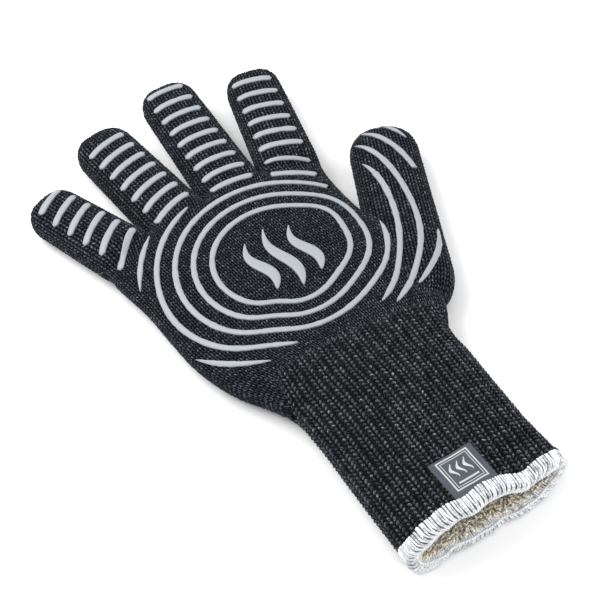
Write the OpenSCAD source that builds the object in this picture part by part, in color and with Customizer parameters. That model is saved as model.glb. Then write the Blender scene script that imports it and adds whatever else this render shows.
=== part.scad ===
// Heat resistant cooking glove: a knitted shell over a soft liner, with silicone grips on both faces.
// It lies on its back face. +Y runs to the fingers, +X to the thumb, +Z out of the palm.
// The origin is on the surface it lies on, under the centre of the palm's rings.

/* [Palm] */
// Distance from the ring centre back to the wrist fold
wrist_back = 75.5; // [66:0.5:84]
// Width across the wrist
wrist_w = 84; // [78:1:92]
// Sideways offset of the wrist's middle, towards the thumb
wrist_x = 5.5; // [2:0.5:9]
// Thickness at the wrist
wrist_t = 26; // [22:0.5:30]
// Thickness over the middle of the palm
palm_t = 22.5; // [20:0.5:26]
// Bulge of the heel on the thumb's side
heel_w = 11; // [7:0.5:14]
// Distance from the ring centre to the middle finger's root
root_y = 70.5; // [66:0.5:76]
// How far the webs between the fingers lie behind the middle finger's root
web_back = 5; // [2:0.5:8]

/* [Cuff] */
// Length of the ribbed cuff, from wrist fold to mouth
cuff_l = 103; // [80:1:130]
// Width across the mouth
mouth_w = 82; // [78:1:98]
// Thickness across the mouth
mouth_t = 25.5; // [22:0.5:31]
// Sideways offset of the mouth's middle, towards the thumb
mouth_x = 7.5; // [4:0.5:12]
// Slant of the mouth, longer on the little finger's side
mouth_turn = 4.5; // [0:0.5:8]
// Width of the overlocked binding round the mouth
binding_w = 7; // [5:0.5:10]
// Thickness of the binding's yarn over the edge
binding_t = 1.4; // [1:0.1:2]
// Width of the woven label
label_w = 22.5; // [18:0.5:28]
// Length of the woven label that shows above the binding
label_l = 20.5; // [16:0.5:28]
// Thickness of the label
label_t = 0.8; // [0.6:0.1:1.2]
// Sideways place of the label's middle, from the cuff's middle
label_x = -1; // [-12:1:12]

/* [Fingers] */
// Little finger: length from its root
little_l = 59; // [52:1:66]
// Little finger: width at its root
little_w = 29.5; // [27:0.5:32]
// Little finger: direction in the lying plane
little_a = 111; // [108:0.5:115]
// Little finger: how far its root lies behind the middle finger's
little_back = 12; // [9:0.5:15]
// Ring finger: length from its root
ring_l = 78; // [70:1:86]
// Ring finger: width at its root
ring_w = 32.5; // [30:0.5:34]
// Ring finger: direction in the lying plane
ring_a = 98; // [96.5:0.5:100]
// Ring finger: how far its root lies behind the middle finger's
ring_back = 4; // [2:0.5:6]
// Middle finger: length from its root
middle_l = 87; // [80:1:95]
// Middle finger: width at its root
middle_w = 31.5; // [30:0.5:33]
// Middle finger: direction in the lying plane
middle_a = 89; // [88:0.5:90]
// Sideways place of the middle finger's root
middle_x = 3.8; // [2:0.1:6]
// Index finger: length from its root
index_l = 75.5; // [68:0.5:83]
// Index finger: width at its root
index_w = 30.5; // [29:0.5:33]
// Index finger: direction in the lying plane
index_a = 79.5; // [75:0.5:81]
// Index finger: how far its root lies behind the middle finger's
index_back = 3; // [1:0.5:5]
// Gap between neighbouring fingers at their roots
root_gap = 1.5; // [1:0.1:2.5]
// Thickness of the four fingers at their roots
finger_t = 20; // [18:0.5:22]
// Thickness lost from a finger's root to its tip
finger_thin = 1.5; // [0:0.1:3]
// Width lost from a finger's root to its tip
finger_slim = 3; // [1:0.1:5]

/* [Thumb] */
// Thumb: length from its heel to its tip
thumb_l = 120; // [112:1:128]
// Thumb: width at its crotch
thumb_w = 37; // [33:0.5:39]
// Thumb: direction in the lying plane
thumb_a = 70.5; // [66:0.5:73]
// Thumb: thickness
thumb_t = 21; // [19:0.5:23]
// Distance from the wrist fold to the thumb's heel
thumb_heel = 26; // [22:1:30]
// Distance from the thumb's heel to its root fold
thumb_root = 66; // [63:1:70]
// Distance from the thumb's root fold to its middle fold
thumb_base = 27; // [22:1:32]
// Turn of the root fold from square to the thumb, so that it folds over the palm
thumb_turn = 20; // [5:1:25]
// Length over which the thumb's heel rounds off into the palm
heel_round = 26; // [24:0.5:32]

/* [Layers] */
// Thickness of the knitted outer shell
shell_w = 2.2; // [1.6:0.1:2.8]
// Thickness of the soft liner
liner_w = 1.8; // [1.2:0.1:2.4]
// Clearance between shell and liner
liner_gap = 0.3; // [0.2:0.05:0.5]
// Gap left between two segments at a fold
fold_gap = 0.4; // [0.3:0.05:0.8]

/* [Grips] */
// Height of the silicone over the knit
grip_h = 0.9; // [0.6:0.1:1.2]
// Width of a silicone line
grip_w = 3; // [2:0.1:4]
// Radius of the innermost ring
ring_r = 33.4; // [32:0.2:36]
// Step from ring to ring on the palm
ring_step = 9.2; // [8.5:0.1:9.8]
// Step from line to line on the fingers
bar_step = 10.2; // [9.6:0.1:10.8]
// Height of the ring centre along the palm
ring_y = -0.5; // [-3:0.5:3]
// Share of a finger's width that a line spans
bar_share = 0.75; // [0.6:0.01:0.82]
// Length of the middle heat line of the emblem
emblem_l = 44; // [36:1:50]
// Greatest width of a heat line
emblem_w = 6; // [4:0.5:7.5]
// Sideways step from one heat line to the next
emblem_step = 12; // [9:0.5:14]
// Sideways swing of a heat line
emblem_wave = 2.8; // [1:0.1:4]

/* [Hidden] */
SEGMENTS = ["base", "tip"];
LAYERS = ["shell", "liner", "grip", "back_grip"];
FINGERS = ["little", "ring", "middle", "index", "thumb"];
PALM_NODES = ["palm_shell", "palm_liner", "palm_grip", "palm_emblem", "palm_back_grip",
    "palm_back_emblem"];
CUFF_NODES = ["cuff_shell", "cuff_liner", "cuff_binding", "cuff_label"];

KNIT = [0.13, 0.135, 0.15];
LINING = [0.80, 0.77, 0.66];
SILICONE = [0.72, 0.75, 0.78];
YARN = [0.88, 0.89, 0.90];
WOVEN = [0.28, 0.30, 0.33];

bed = grip_h;                 // underside of the knit, on the back grips
mouth_bed = binding_t + 0.1;  // underside of the knit at the mouth, which the binding wraps
low_share = 0.42;             // share of the thickness that lies under the widest line
roundness = 2.4;              // exponent of the domed upper side, 2 is an ellipse
corner_w = 7;                 // width of the rounded lower corner
dome_n = 10;                  // steps over the domed upper side
end_n = 11;                   // steps over it at the open end of a stub's cavity
end_step = 0.3;               // length of the last stretch of that cavity
bulge = 0.1;                  // how far the end of a stub bulges in its middle
bulge_up = 2;                 // height of that middle over the widest line
liner_in = shell_w + liner_gap;
cavity_in = liner_in + liner_w;
seat = 0.45;                  // clearance of a draped line over the domed knit
station_step = 3.5;           // distance between the stations of a silicone arc
line_edge = 2;                // distance that a line keeps from the outline
outer_share = 0.8;            // length of the outer heat lines, as a share of the middle one's
level_share = 0.74;           // least share of a finger's thickness at which a line still lies
core_l = 1.5;                 // length of the core that ties one stretch of the palm to the next
core_in = 0.6;                // how much smaller than the palm that core is
stub_in = 14;                 // how far a finger's section starts inside the palm
heel_in = 8;                  // how far the thumb's section starts behind its heel
heel_mid = 4;                 // middle station of the thumb's heel
heel_full = 16;               // distance along the thumb at which its heel has its full section
wrist_y = -wrist_back;
mouth_y = wrist_y - cuff_l;
half_gap = fold_gap / 2;
ring_c = [0, ring_y];

// ---- small helpers ----
function unit(a) = [cos(a), sin(a)];
function across(a) = [sin(a), -cos(a)];
function mix(a, b, k) = a + (b - a) * k;
function clamp(v, lo, hi) = max(lo, min(hi, v));
function bell(v, centre, width) = exp(-pow((v - centre) / width, 2));
function steps(a, b, n) = [for (i = [0:n]) mix(a, b, i / n)];
function spow(v, e) = sign(v) * pow(abs(v), e);
function dome(u) = pow(max(0, 1 - pow(min(1, abs(u)), roundness)), 1 / roundness);

// Closed section: domed top in n steps, flat bottom with rounded corners. p is its middle on the widest
// line, dir the direction that it faces, a its half width, up and low its heights over and under p.
function section(p, dir, a, up, low, n = dome_n) =
    let (h = across(dir), c = min(corner_w, 0.6 * a), e = 2 / roundness)
    [for (q = concat(
        [for (f = steps(0, 180, n)) [a * spow(cos(f), e), up * pow(sin(f), e)]],
        [for (f = steps(30, 90, 2)) [-(a - c + c * cos(f)), -low * sin(f)]],
        [for (f = steps(90, 30, 2)) [a - c + c * cos(f), -low * sin(f)]]))
        [p.x + h.x * q.x, p.y + h.y * q.x, p.z + q.y]];

// Skin through a row of rings that have as many points each; closed joins the last ring to the first.
module loft(rings, closed = false) {
    n = len(rings[0]);
    last = len(rings) - 1;
    walls = [for (i = [0:closed ? last : last - 1], j = [0:n - 1])
        let (k = (i + 1) % (last + 1), m = (j + 1) % n)
        each [[i * n + j, i * n + m, k * n + m], [i * n + j, k * n + m, k * n + j]]];
    caps = closed ? [] : [[for (j = [n - 1:-1:0]) j], [for (j = [0:n - 1]) last * n + j]];
    polyhedron([for (r = rings) each r], concat(walls, caps));
}

// Tube of even wall whose outer and inner rings are given from end to end; a blind tube has a far cap.
module tube(outer, inner, blind = false) {
    if (blind)
        loft(concat([for (i = [len(inner) - 1:-1:0]) inner[i]], outer));
    else
        loft(concat([for (i = [len(inner) - 1:-1:0]) inner[i]], outer), closed = true);
}

// ---- fingers ----
// A finger is [root, direction, length, width, thickness, root fold, middle fold, turn of the root fold].
ring_x = middle_x - (middle_w + ring_w) / 2 - root_gap;
little_x = ring_x - (ring_w + little_w) / 2 - root_gap;
index_x = middle_x + (middle_w + index_w) / 2 + root_gap;
thumb_at = [wrist_x + wrist_w / 2, wrist_y + thumb_heel];

function ring_radius(level) = level <= 4 ? ring_r + (level - 1) * ring_step
    : ring_r + 3 * ring_step + (level - 4) * bar_step;
// Distance along a finger, at v to its side, where it crosses the circle of radius r
function reach(root, a, v, r) =
    let (p = root + v * across(a) - ring_c, b = p * unit(a))
    sqrt(max(0, r * r - p * p + b * b)) - b;
function fold(root, a, level) = reach(root, a, 0, ring_radius(level) + bar_step / 2);

little_root = [little_x, root_y - little_back];
ring_root = [ring_x, root_y - ring_back];
middle_root = [middle_x, root_y];
index_root = [index_x, root_y - index_back];
LITTLE = [little_root, little_a, little_l, little_w, finger_t,
    fold(little_root, little_a, 7), fold(little_root, little_a, 9), 0];
RING = [ring_root, ring_a, ring_l, ring_w, finger_t,
    fold(ring_root, ring_a, 6), fold(ring_root, ring_a, 9), 0];
MIDDLE = [middle_root, middle_a, middle_l, middle_w, finger_t,
    fold(middle_root, middle_a, 6), fold(middle_root, middle_a, 9), 0];
INDEX = [index_root, index_a, index_l, index_w, finger_t,
    fold(index_root, index_a, 6), fold(index_root, index_a, 9), 0];
THUMB = [thumb_at, thumb_a, thumb_l, thumb_w, thumb_t, thumb_root, thumb_root + thumb_base, thumb_turn];
HAND = [LITTLE, RING, MIDDLE, INDEX, THUMB];
// Levels of the lines on each finger: first on the palm, last on the palm, last on the base, last at the tip
LEVELS = [[6, 7, 9, 11], [5, 6, 9, 11], [4, 6, 9, 12], [4, 6, 9, 11]];

function axis_point(f, s) = f[0] + s * unit(f[1]);
function half_width(f, s) = (f[3] - finger_slim * clamp(s / f[2], 0, 1)) / 2;
function thickness(f, s) = f[4] - finger_thin * clamp(s / f[2], 0, 1);
function tip_radius(f) = half_width(f, f[2]);
// Share of the full section that is left at s, rounding to nothing at the tip
function tip_share(f, s, inset) =
    let (r = tip_radius(f) - inset, k = (s - f[2] + inset + r) / r)
    k <= 0 ? 1 : pow(max(0, 1 - k * k), 0.45);
function middle_z(f, s) = bed + low_share * thickness(f, s);

// Ring of a finger at s, inset from its outer surface, its plane turned by turn degrees
function finger_ring(f, s, inset, turn = 0, n = dome_n) =
    let (k = tip_share(f, s, inset), t = thickness(f, s), c = axis_point(f, s))
    section([c.x, c.y, middle_z(f, s)], f[1] - turn, (half_width(f, s) - inset) * k / cos(turn),
        ((1 - low_share) * t - inset) * k, (low_share * t - inset) * k, n);

// Share of the full section of the thumb at its rounded heel
function heel_share(s) = s < heel_full ? sqrt(1 - pow((heel_full - s) / heel_round, 2)) : 1;

// Height of the palm face of a finger at s along and v across
function finger_top(f, s, v) =
    let (k = tip_share(f, s, 0) * (f == THUMB ? heel_share(s) : 1))
    k <= 0 ? bed : middle_z(f, s) + (1 - low_share) * thickness(f, s) * k * dome(v / (half_width(f, s) * k));

// The thumb's heel, where its section grows from the palm's edge
function heel_ring(s, inset) =
    let (k = heel_share(s), t = thickness(THUMB, 0), c = axis_point(THUMB, s))
    section([c.x, c.y, middle_z(THUMB, 0)], thumb_a, half_width(THUMB, 0) * k - inset,
        (1 - low_share) * t * k - inset, low_share * t * k - inset);

function base_rings(f, inset) =
    let (a = f[5] + half_gap, b = f[6] - half_gap)
    [for (k = [0, 0.34, 0.67, 1]) finger_ring(f, mix(a, b, k), inset, f[7] * (1 - k))];
function tip_rings(f, inset) =
    let (a = f[6] + half_gap, r = tip_radius(f) - inset, b = f[2] - inset - r)
    concat([for (k = [0, 0.5, 1]) finger_ring(f, mix(a, b, k), inset)],
        [for (g = [28, 50, 68, 82]) finger_ring(f, b + r * sin(g), inset)]);

// ---- palm and cuff ----
// Rows of the palm from wrist to roots: share of its length, share of the widening on the little
// finger's side, share of the heel's bulge on the thumb's side, share of the thinning to the roots.
PALM_ROWS = [[0, 0, 0, -1], [0.09, 0.30, 0.55, -0.7], [0.19, 0.50, 0.85, -0.4], [0.32, 0.64, 1, 0],
    [0.5, 0.73, 0.7, 0], [0.66, 0.78, 0.05, 0.1], [0.83, 0.89, -0.15, 0.5], [1, 1, 0, 1]];
palm_l = middle_root.y - web_back - wrist_y;
wrist_left = wrist_x - wrist_w / 2;
wrist_right = wrist_x + wrist_w / 2;
roots_left = little_x - little_w / 2;
roots_right = index_x + index_w / 2;

// Edges and thickness along the palm, as [y, value] tables
LEFT_EDGE = [for (r = PALM_ROWS) [wrist_y + r[0] * palm_l, mix(wrist_left, roots_left, r[1])]];
RIGHT_EDGE = [for (r = PALM_ROWS)
    [wrist_y + r[0] * palm_l, mix(wrist_right, roots_right - 1, r[0]) + heel_w * r[2]]];
PALM_THICK = [for (r = PALM_ROWS)
    [wrist_y + r[0] * palm_l, r[3] < 0 ? mix(palm_t, wrist_t, -r[3]) : mix(palm_t, finger_t, r[3])]];

// The rows turn towards the line of the crotches, from square at the palm's middle
web_turn = atan2(index_root.y - little_root.y, index_root.x - little_root.x) / 2 + 2;
palm_end = wrist_y + palm_l;
function row_turn(y) = web_turn * clamp((y - 0.6 * palm_l - wrist_y) / (0.4 * palm_l), 0, 1);

function palm_ring(y, inset) =
    let (l = lookup(y, LEFT_EDGE), r = lookup(y, RIGHT_EDGE), t = lookup(y, PALM_THICK))
    section([(l + r) / 2, y, bed + low_share * t], 90 + row_turn(y), (r - l) / 2 - inset,
        (1 - low_share) * t - inset, low_share * t - inset);
// Row of the palm that a point lies on, and its place from edge to edge as -1 to 1
function palm_row(p) = p.y - tan(row_turn(p.y)) * (p.x - (roots_left + roots_right) / 2);
function palm_side(p) =
    let (y = palm_row(p), l = lookup(y, LEFT_EDGE), r = lookup(y, RIGHT_EDGE))
    y > palm_end ? 2 : (p.x - (l + r) / 2) / ((r - l) / 2);
function palm_dome(p) =
    abs(palm_side(p)) > 1 ? 0
        : bed + lookup(palm_row(p), PALM_THICK) * (low_share + (1 - low_share) * dome(palm_side(p)));
// Height of the palm face at p, over the palm and every finger's stub
function palm_top(p) = max(palm_dome(p), max([for (f = HAND)
    let (d = p - f[0], s = d * unit(f[1]), v = d * across(f[1]))
    s > (f == THUMB ? -heel_in : -stub_in) && abs(v) < half_width(f, s) ? finger_top(f, s, v) : 0]));

// Middle of a stub's end, which bulges a little, as a ring that is shrunk to a point
function end_point(f) =
    let (c = axis_point(f, f[5] - half_gap + bulge))
    [for (q = finger_ring(f, 0, 0)) [c.x, c.y, middle_z(f, 0) + bulge_up]];
// Body of the palm with the stubs of the fingers up to their root folds; over lengthens its open ends,
// whose rings have points of their own so that no edge of the one body lies on an edge of the other
module palm_body(inset, over = 0) {
    ys = [for (e = LEFT_EDGE) e[0]];
    stops = concat([wrist_y + half_gap - over], [for (i = [1:len(ys) - 2]) ys[i]], [palm_end - inset]);
    last = len(stops) - 1;
    // Each stretch ends in a smaller core inside the next one, so that the two are one solid
    for (i = [1:last])
        hull() loft(concat([palm_ring(stops[i - 1], inset), palm_ring(stops[i], inset)],
            i == last ? [] : [palm_ring(stops[i] + core_l, inset + core_in)]));
    for (f = HAND)
        hull() {
            loft(f == THUMB ? [for (s = [-heel_in, heel_mid, heel_full]) heel_ring(s, inset)]
                : [for (s = [-stub_in, 0]) finger_ring(f, s, inset)]);
            if (over > 0)
                loft([for (g = [0, end_step])
                    finger_ring(f, f[5] - half_gap + over + g, inset + g, f[7], end_n)]);
            else
                loft([finger_ring(f, f[5] - half_gap, inset, f[7]), end_point(f)]);
        }
}

function cuff_ring(y, inset) =
    let (k = (wrist_y - y) / cuff_l, t = mix(wrist_t, mouth_t, k))
    section([mix(wrist_x, mouth_x, k), y, mix(bed, mouth_bed, k) + low_share * t], 90 + mouth_turn * k,
        mix(wrist_w, mouth_w, k) / 2 - inset, (1 - low_share) * t - inset, low_share * t - inset);
// Row of the cuff that a point lies on
function cuff_row(x, y) = y - tan(mouth_turn * (wrist_y - y) / cuff_l) * (x - mouth_x);
function cuff_top(x, y) =
    let (k = (wrist_y - cuff_row(x, y)) / cuff_l, t = mix(wrist_t, mouth_t, k),
        half = mix(wrist_w, mouth_w, k) / 2)
    mix(bed, mouth_bed, k) + t * (low_share + (1 - low_share) * dome((x - mix(wrist_x, mouth_x, k)) / half));

shell_end = mouth_y + binding_t + seat;

// ---- silicone lines ----
// A line runs through stations [centre, half width, outward direction across the line, under, over].
// Draped on the domed palm face, or flat between the surface it lies on and the knit.
function draped(c, half, out) =
    let (p = c - half * out, q = c + half * out, zp = palm_top(p), zq = palm_top(q))
    [[p.x, p.y, zp + seat], [q.x, q.y, zq + seat], [q.x, q.y, zq + seat + grip_h],
        [p.x, p.y, zp + seat + grip_h]];
function laid(c, half, out) =
    let (p = c - half * out, q = c + half * out)
    [[p.x, p.y, 0], [q.x, q.y, 0], [q.x, q.y, grip_h], [p.x, p.y, grip_h]];
module line(stations, closed = false) {
    if (len(stations) > 2) loft(stations, closed);
}

// Line of a level across a finger, kept between s0 and s1 and within share of the half width
module finger_line(f, level, s0, s1, flat = false) {
    r = ring_radius(level);
    edge = bar_share * half_width(f, reach(f[0], f[1], 0, r));
    side = flat ? min(edge, half_width(f, f[2]) - corner_w + 0.5) : edge;
    keep = grip_w / 2 + seat;
    spans = [for (v = steps(side, -side, 8))
        let (s = reach(f[0], f[1], v, r), c = f[0] + s * unit(f[1]) + v * across(f[1]))
            if (s - keep > s0 && s + keep < s1 && tip_share(f, s + keep, 0) > 0.7
                && palm_top(c) > bed + level_share * f[4]) [s, v]];
    line([for (q = spans)
        let (c = f[0] + q[0] * unit(f[1]) + q[1] * across(f[1]), out = unit(f[1]))
        flat ? laid(c, grip_w / 2, out) : draped(c, grip_w / 2, out)]);
}

// Radius of a ring at a bearing: round inside, drawn out along the thumb and closed in at its heel
function drawn_out(level, a) =
    level < 4 ? 0 : level > 5 ? 0.13 * bell(a, 33, 22) : 0.25 * bell(a, 45, 24);
function closed_in(level, a) = 0.08 * clamp((level - 2) / 2, 0, 1) * bell(a, -35, 35);
function arc_radius(level, a) = ring_radius(level) * (1 + drawn_out(level, a) - closed_in(level, a));
function arc_point(level, a) = ring_c + arc_radius(level, a) * unit(a);
// Side of a thumb fold that a point lies on, in millimetres beyond it
function past_fold(p, s, turn) = (p - axis_point(THUMB, s)) * unit(thumb_a - turn);
function in_part(p, part) =
    let (root = past_fold(p, THUMB[5], thumb_turn), mid = past_fold(p, THUMB[6], 0),
        room = grip_w / 2 + seat)
    part == "palm" ? root < -room : part == "base" ? root > room && mid < -room : mid > room;
// Whether a line's outer side at p still lies on the knit, inside its rounded edges
function on_thumb(p, edge) =
    let (d = p - THUMB[0], s = d * unit(thumb_a), v = d * across(thumb_a))
    s > -heel_in / 4 && abs(v) < (half_width(THUMB, s) - edge) * tip_share(THUMB, s, 0);
function on_palm(p, edge) = let (w = lookup(palm_row(p), RIGHT_EDGE) - lookup(palm_row(p), LEFT_EDGE))
    abs(palm_side(p)) < 1 - 2 * edge / w;
function on_knit(level, a, edge) =
    let (p = ring_c + (arc_radius(level, a) + grip_w / 2) * unit(a)) on_thumb(p, edge) || on_palm(p, edge);

// Arcs of the palm and thumb: level, which may lie between two rings, first bearing, last bearing
ARCS = [[3, 34, 358], [4, 112, 250], [4.9, 136, 163], [4.7, 205, 238], [4, -64, 32], [5, -61, 38],
    [6, -46, -15], [6, 12, 35], [7, 24, 33]];
FLAT_ARCS = [[3, 34, 358], [4, 112, 250], [4, -58, 25], [5, -45, 32], [6, 14, 34], [7, 25, 33]];

module arc_line(arc, part, flat = false) {
    n = ceil((arc[2] - arc[1]) * PI / 180 * ring_radius(arc[0]) / station_step);
    edge = flat ? corner_w : line_edge;
    line([for (a = steps(arc[1], arc[2], n))
        let (c = arc_point(arc[0], a)) if (in_part(c, part) && on_knit(arc[0], a, edge))
        flat ? laid(c, grip_w / 2, unit(a)) : draped(c, grip_w / 2, unit(a))]);
}
module full_ring(level, flat = false) {
    line([for (a = [0:9:351]) let (c = arc_point(level, a))
        flat ? laid(c, grip_w / 2, unit(a)) : draped(c, grip_w / 2, unit(a))], closed = true);
}

// Rising heat: three tapered wavy lines
module heat_lines(flat = false) {
    for (i = [-1:1]) {
        l = emblem_l * (i == 0 ? 1 : outer_share);
        line([for (k = steps(0, 1, 14))
            let (c = [i * emblem_step + emblem_wave * sin(360 * k), ring_y + l * (k - 0.5)],
                half = emblem_w / 2 * (0.15 + 0.85 * sin(180 * pow(k, 0.8))))
            flat ? laid(c, half, [1, 0]) : draped(c, half, [1, 0])]);
    }
}

// ---- sub-parts ----
module palm_shell() {
    color(KNIT) difference() {
        palm_body(0);
        palm_body(shell_w, 1);
    }
}

module palm_liner() {
    color(LINING) difference() {
        palm_body(liner_in);
        palm_body(cavity_in, 1);
    }
}

module palm_grip() {
    color(SILICONE) {
        for (level = [1, 2]) full_ring(level);
        for (arc = ARCS) arc_line(arc, "palm");
        for (i = [0:3], level = [LEVELS[i][0]:LEVELS[i][1]])
            finger_line(HAND[i], level, -30, HAND[i][5]);
    }
}

module palm_emblem() {
    color(SILICONE) heat_lines();
}

module palm_back_grip() {
    color(SILICONE) {
        for (level = [1, 2]) full_ring(level, flat = true);
        for (arc = FLAT_ARCS) arc_line(arc, "palm", flat = true);
        for (i = [0:3], level = [LEVELS[i][0]:LEVELS[i][1]])
            finger_line(HAND[i], level, -30, HAND[i][5], flat = true);
    }
}

module palm_back_emblem() {
    color(SILICONE) heat_lines(flat = true);
}

module cuff_tube(near, far) {
    ys = steps(shell_end, wrist_y - half_gap, 4);
    tube([for (y = ys) cuff_ring(y, near)], [for (y = ys) cuff_ring(y, far)]);
}

module cuff_shell() {
    color(KNIT) cuff_tube(0, shell_w);
}

module cuff_liner() {
    color(LINING) cuff_tube(liner_in, cavity_in);
}

// Yarn wrapped over the edge of shell and liner together
module cuff_binding() {
    back = mouth_y + binding_w;
    color(YARN) loft([cuff_ring(mouth_y, -binding_t), cuff_ring(back, -binding_t), cuff_ring(back, -seat),
        cuff_ring(shell_end - seat, -seat), cuff_ring(shell_end - seat, cavity_in + seat),
        cuff_ring(back, cavity_in + seat), cuff_ring(back, cavity_in + binding_t),
        cuff_ring(mouth_y, cavity_in + binding_t)], closed = true);
}

module cuff_label() {
    xs = steps(mouth_x + label_x - label_w / 2, mouth_x + label_x + label_w / 2, 6);
    near = mouth_y + binding_w + seat;
    slant = tan(mouth_turn);
    color(WOVEN) loft([for (l = [0, label_l])
        let (low = [for (x = xs)
            let (y = near + l + slant * (x - mouth_x), left = x - slant * l)
            [left, y, cuff_top(left, y) + seat]])
        concat(low, [for (i = [len(low) - 1:-1:0]) low[i] + [0, 0, label_t]])]);
}

module finger_shell(f, segment) {
    color(KNIT)
        if (segment == "base") tube(base_rings(f, 0), base_rings(f, shell_w));
        else tube(tip_rings(f, 0), tip_rings(f, shell_w), blind = true);
}

module finger_liner(f, segment) {
    color(LINING)
        if (segment == "base") tube(base_rings(f, liner_in), base_rings(f, cavity_in));
        else tube(tip_rings(f, liner_in), tip_rings(f, cavity_in), blind = true);
}

module finger_grip(i, segment, flat) {
    f = HAND[i];
    color(SILICONE)
        if (i == 4)
            for (arc = flat ? FLAT_ARCS : ARCS) arc_line(arc, segment, flat);
        else
            for (level = segment == "base" ? [LEVELS[i][1] + 1:LEVELS[i][2]]
                : [LEVELS[i][2] + 1:LEVELS[i][3]])
                finger_line(f, level, segment == "base" ? f[5] : f[6],
                    segment == "base" ? f[6] : f[2], flat);
}

palm_shell();
palm_liner();
palm_grip();
palm_emblem();
palm_back_grip();
palm_back_emblem();
cuff_shell();
cuff_liner();
cuff_binding();
cuff_label();
for (i = [0:4], segment = SEGMENTS) {
    name = str(FINGERS[i], "_", segment, "_");
    finger_shell(HAND[i], segment);
    finger_liner(HAND[i], segment);
    finger_grip(i, segment, false);
    finger_grip(i, segment, true);
}
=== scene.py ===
import math
import bmesh
import bpy
import numpy as np
from mathutils import Matrix, Vector
from mathutils.bvhtree import BVHTree


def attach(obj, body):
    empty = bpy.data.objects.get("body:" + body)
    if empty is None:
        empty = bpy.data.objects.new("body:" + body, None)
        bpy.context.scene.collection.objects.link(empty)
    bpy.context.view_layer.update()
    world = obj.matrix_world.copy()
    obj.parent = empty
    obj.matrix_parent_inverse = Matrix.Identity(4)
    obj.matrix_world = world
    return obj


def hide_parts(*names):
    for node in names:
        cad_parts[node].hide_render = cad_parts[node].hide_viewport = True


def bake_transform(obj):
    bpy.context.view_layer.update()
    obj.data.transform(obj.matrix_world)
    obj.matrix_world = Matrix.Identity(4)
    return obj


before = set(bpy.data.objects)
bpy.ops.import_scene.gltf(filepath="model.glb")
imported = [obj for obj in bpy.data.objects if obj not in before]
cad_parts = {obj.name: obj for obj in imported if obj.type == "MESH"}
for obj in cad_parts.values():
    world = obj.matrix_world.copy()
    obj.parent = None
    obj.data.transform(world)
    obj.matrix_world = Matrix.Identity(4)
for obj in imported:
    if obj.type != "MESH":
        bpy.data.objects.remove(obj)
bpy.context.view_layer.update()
print("frame loaded")

mm = 0.001

# The hand, in millimetres: x across, y towards the fingertips, z over the table.
hand = {
    "bed": 0.9, "mouthBed": 1.5, "lowShare": 0.42, "roundness": 2.4, "fingerRound": 2.9, "corner": 7.0,
    "wristY": -75.5, "mouthY": -178.5, "pastMouth": 1.05, "webTurn": 4.61, "turnStart": 9.1,
    "turnLength": 56.4, "mouthTurn": 4.5, "slim": 3.0, "thin": 1.5, "tipPower": 2.5, "thumbTipPower": 2,
    "tipFullness": 0.45, "heelRound": 26.0, "heelFull": 16.0, "heelStart": -9.6,
}
# folds, and the zone that bends round the root fold, lie at these lengths from the root
# wales are the columns of stitches on one face
fingers = {
    "little": {"root": (-62.2, 58.5), "angle": 111.0, "length": 59.0, "width": 29.5, "thick": 20.0,
               "rootFold": 12.0, "middleFold": 33.75, "turn": 0.0, "wales": 11, "zone": (3.0, 21.0)},
    "ring": {"root": (-29.7, 66.5), "angle": 98.0, "length": 78.0, "width": 32.5, "thick": 20.0,
             "rootFold": 13.65, "middleFold": 44.88, "turn": 0.0, "wales": 12, "zone": (4.65, 22.65)},
    "middle": {"root": (3.8, 70.5), "angle": 89.0, "length": 87.0, "width": 31.5, "thick": 20.0,
               "rootFold": 15.41, "middleFold": 46.02, "turn": 0.0, "wales": 12, "zone": (6.41, 24.41)},
    "index": {"root": (36.3, 67.5), "angle": 79.5, "length": 75.5, "width": 30.5, "thick": 20.0,
              "rootFold": 9.83, "middleFold": 41.28, "turn": 0.0, "wales": 12, "zone": (2.83, 16.83)},
    "thumb": {"root": (47.5, -49.5), "angle": 70.5, "length": 120.0, "width": 37.0, "thick": 21.0,
              "rootFold": 66.0, "middleFold": 93.0, "turn": 20.0, "wales": 14, "zone": (59.0, 73.0)},
}
handOrder = ["little", "ring", "middle", "index"]
crotches = [(-47.1, 64.6), (-12.8, 70.0), (20.4, 70.9)]

# Edges and thickness from the mouth to the roots, as (y, value)
leftEdge = [(-185, -33.2), (-178.5, -33.5), (-130, -35), (-97, -36), (-82, -37.8), (-68, -44.5),
            (-52, -54.6), (-30.4, -62.4), (-5, -66), (17.6, -68.1), (41.5, -72.5), (65.5, -76.9), (80, -79)]
rightEdge = [(-185, 48.6), (-178.5, 48.5), (-130, 48), (-97, 47.6), (-75.5, 47.9), (-62.8, 53.6),
             (-48.7, 57.4), (-30.4, 59.4), (-5, 56.7), (17.6, 51), (41.5, 48.9), (65.5, 50.6), (80, 51)]
thickness = [(-185, 25.5), (-178.5, 25.5), (-130, 25.8), (-75.5, 26), (-62.8, 25), (-48.7, 23.9),
             (-30.4, 22.6), (-5, 22.5), (17.6, 22.2), (41.5, 21.2), (65.5, 20), (80, 20)]


# the plain knit: rows of stitches are courses and columns are wales
knit = {"pitch": 2.45, "perWale": 8, "perCourse": 3, "chevron": 0.85, "palmStart": -86.0, "blendStart": 43.0,
        "blendLength": 22.5, "depth": 0.8, "valley": 0.15, "unevenness": 0.3, "pullShare": 0.3,
        "pullFade": 9.0, "grooveStart": 0.5}
totalWales = sum(fingers[n]["wales"] for n in handOrder)
weld = 2e-6  # metres within which points are one

def smoothStep(v, a=0.0, b=1.0):
    k = np.clip((np.asarray(v, float) - a) / (b - a), 0, 1)
    return k * k * (3 - 2 * k)


def mix(a, b, k):
    return a + (b - a) * k


def direction(angle):
    return np.array([math.cos(math.radians(angle)), math.sin(math.radians(angle))])


def across(angle):
    return np.array([math.sin(math.radians(angle)), -math.cos(math.radians(angle))])


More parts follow.
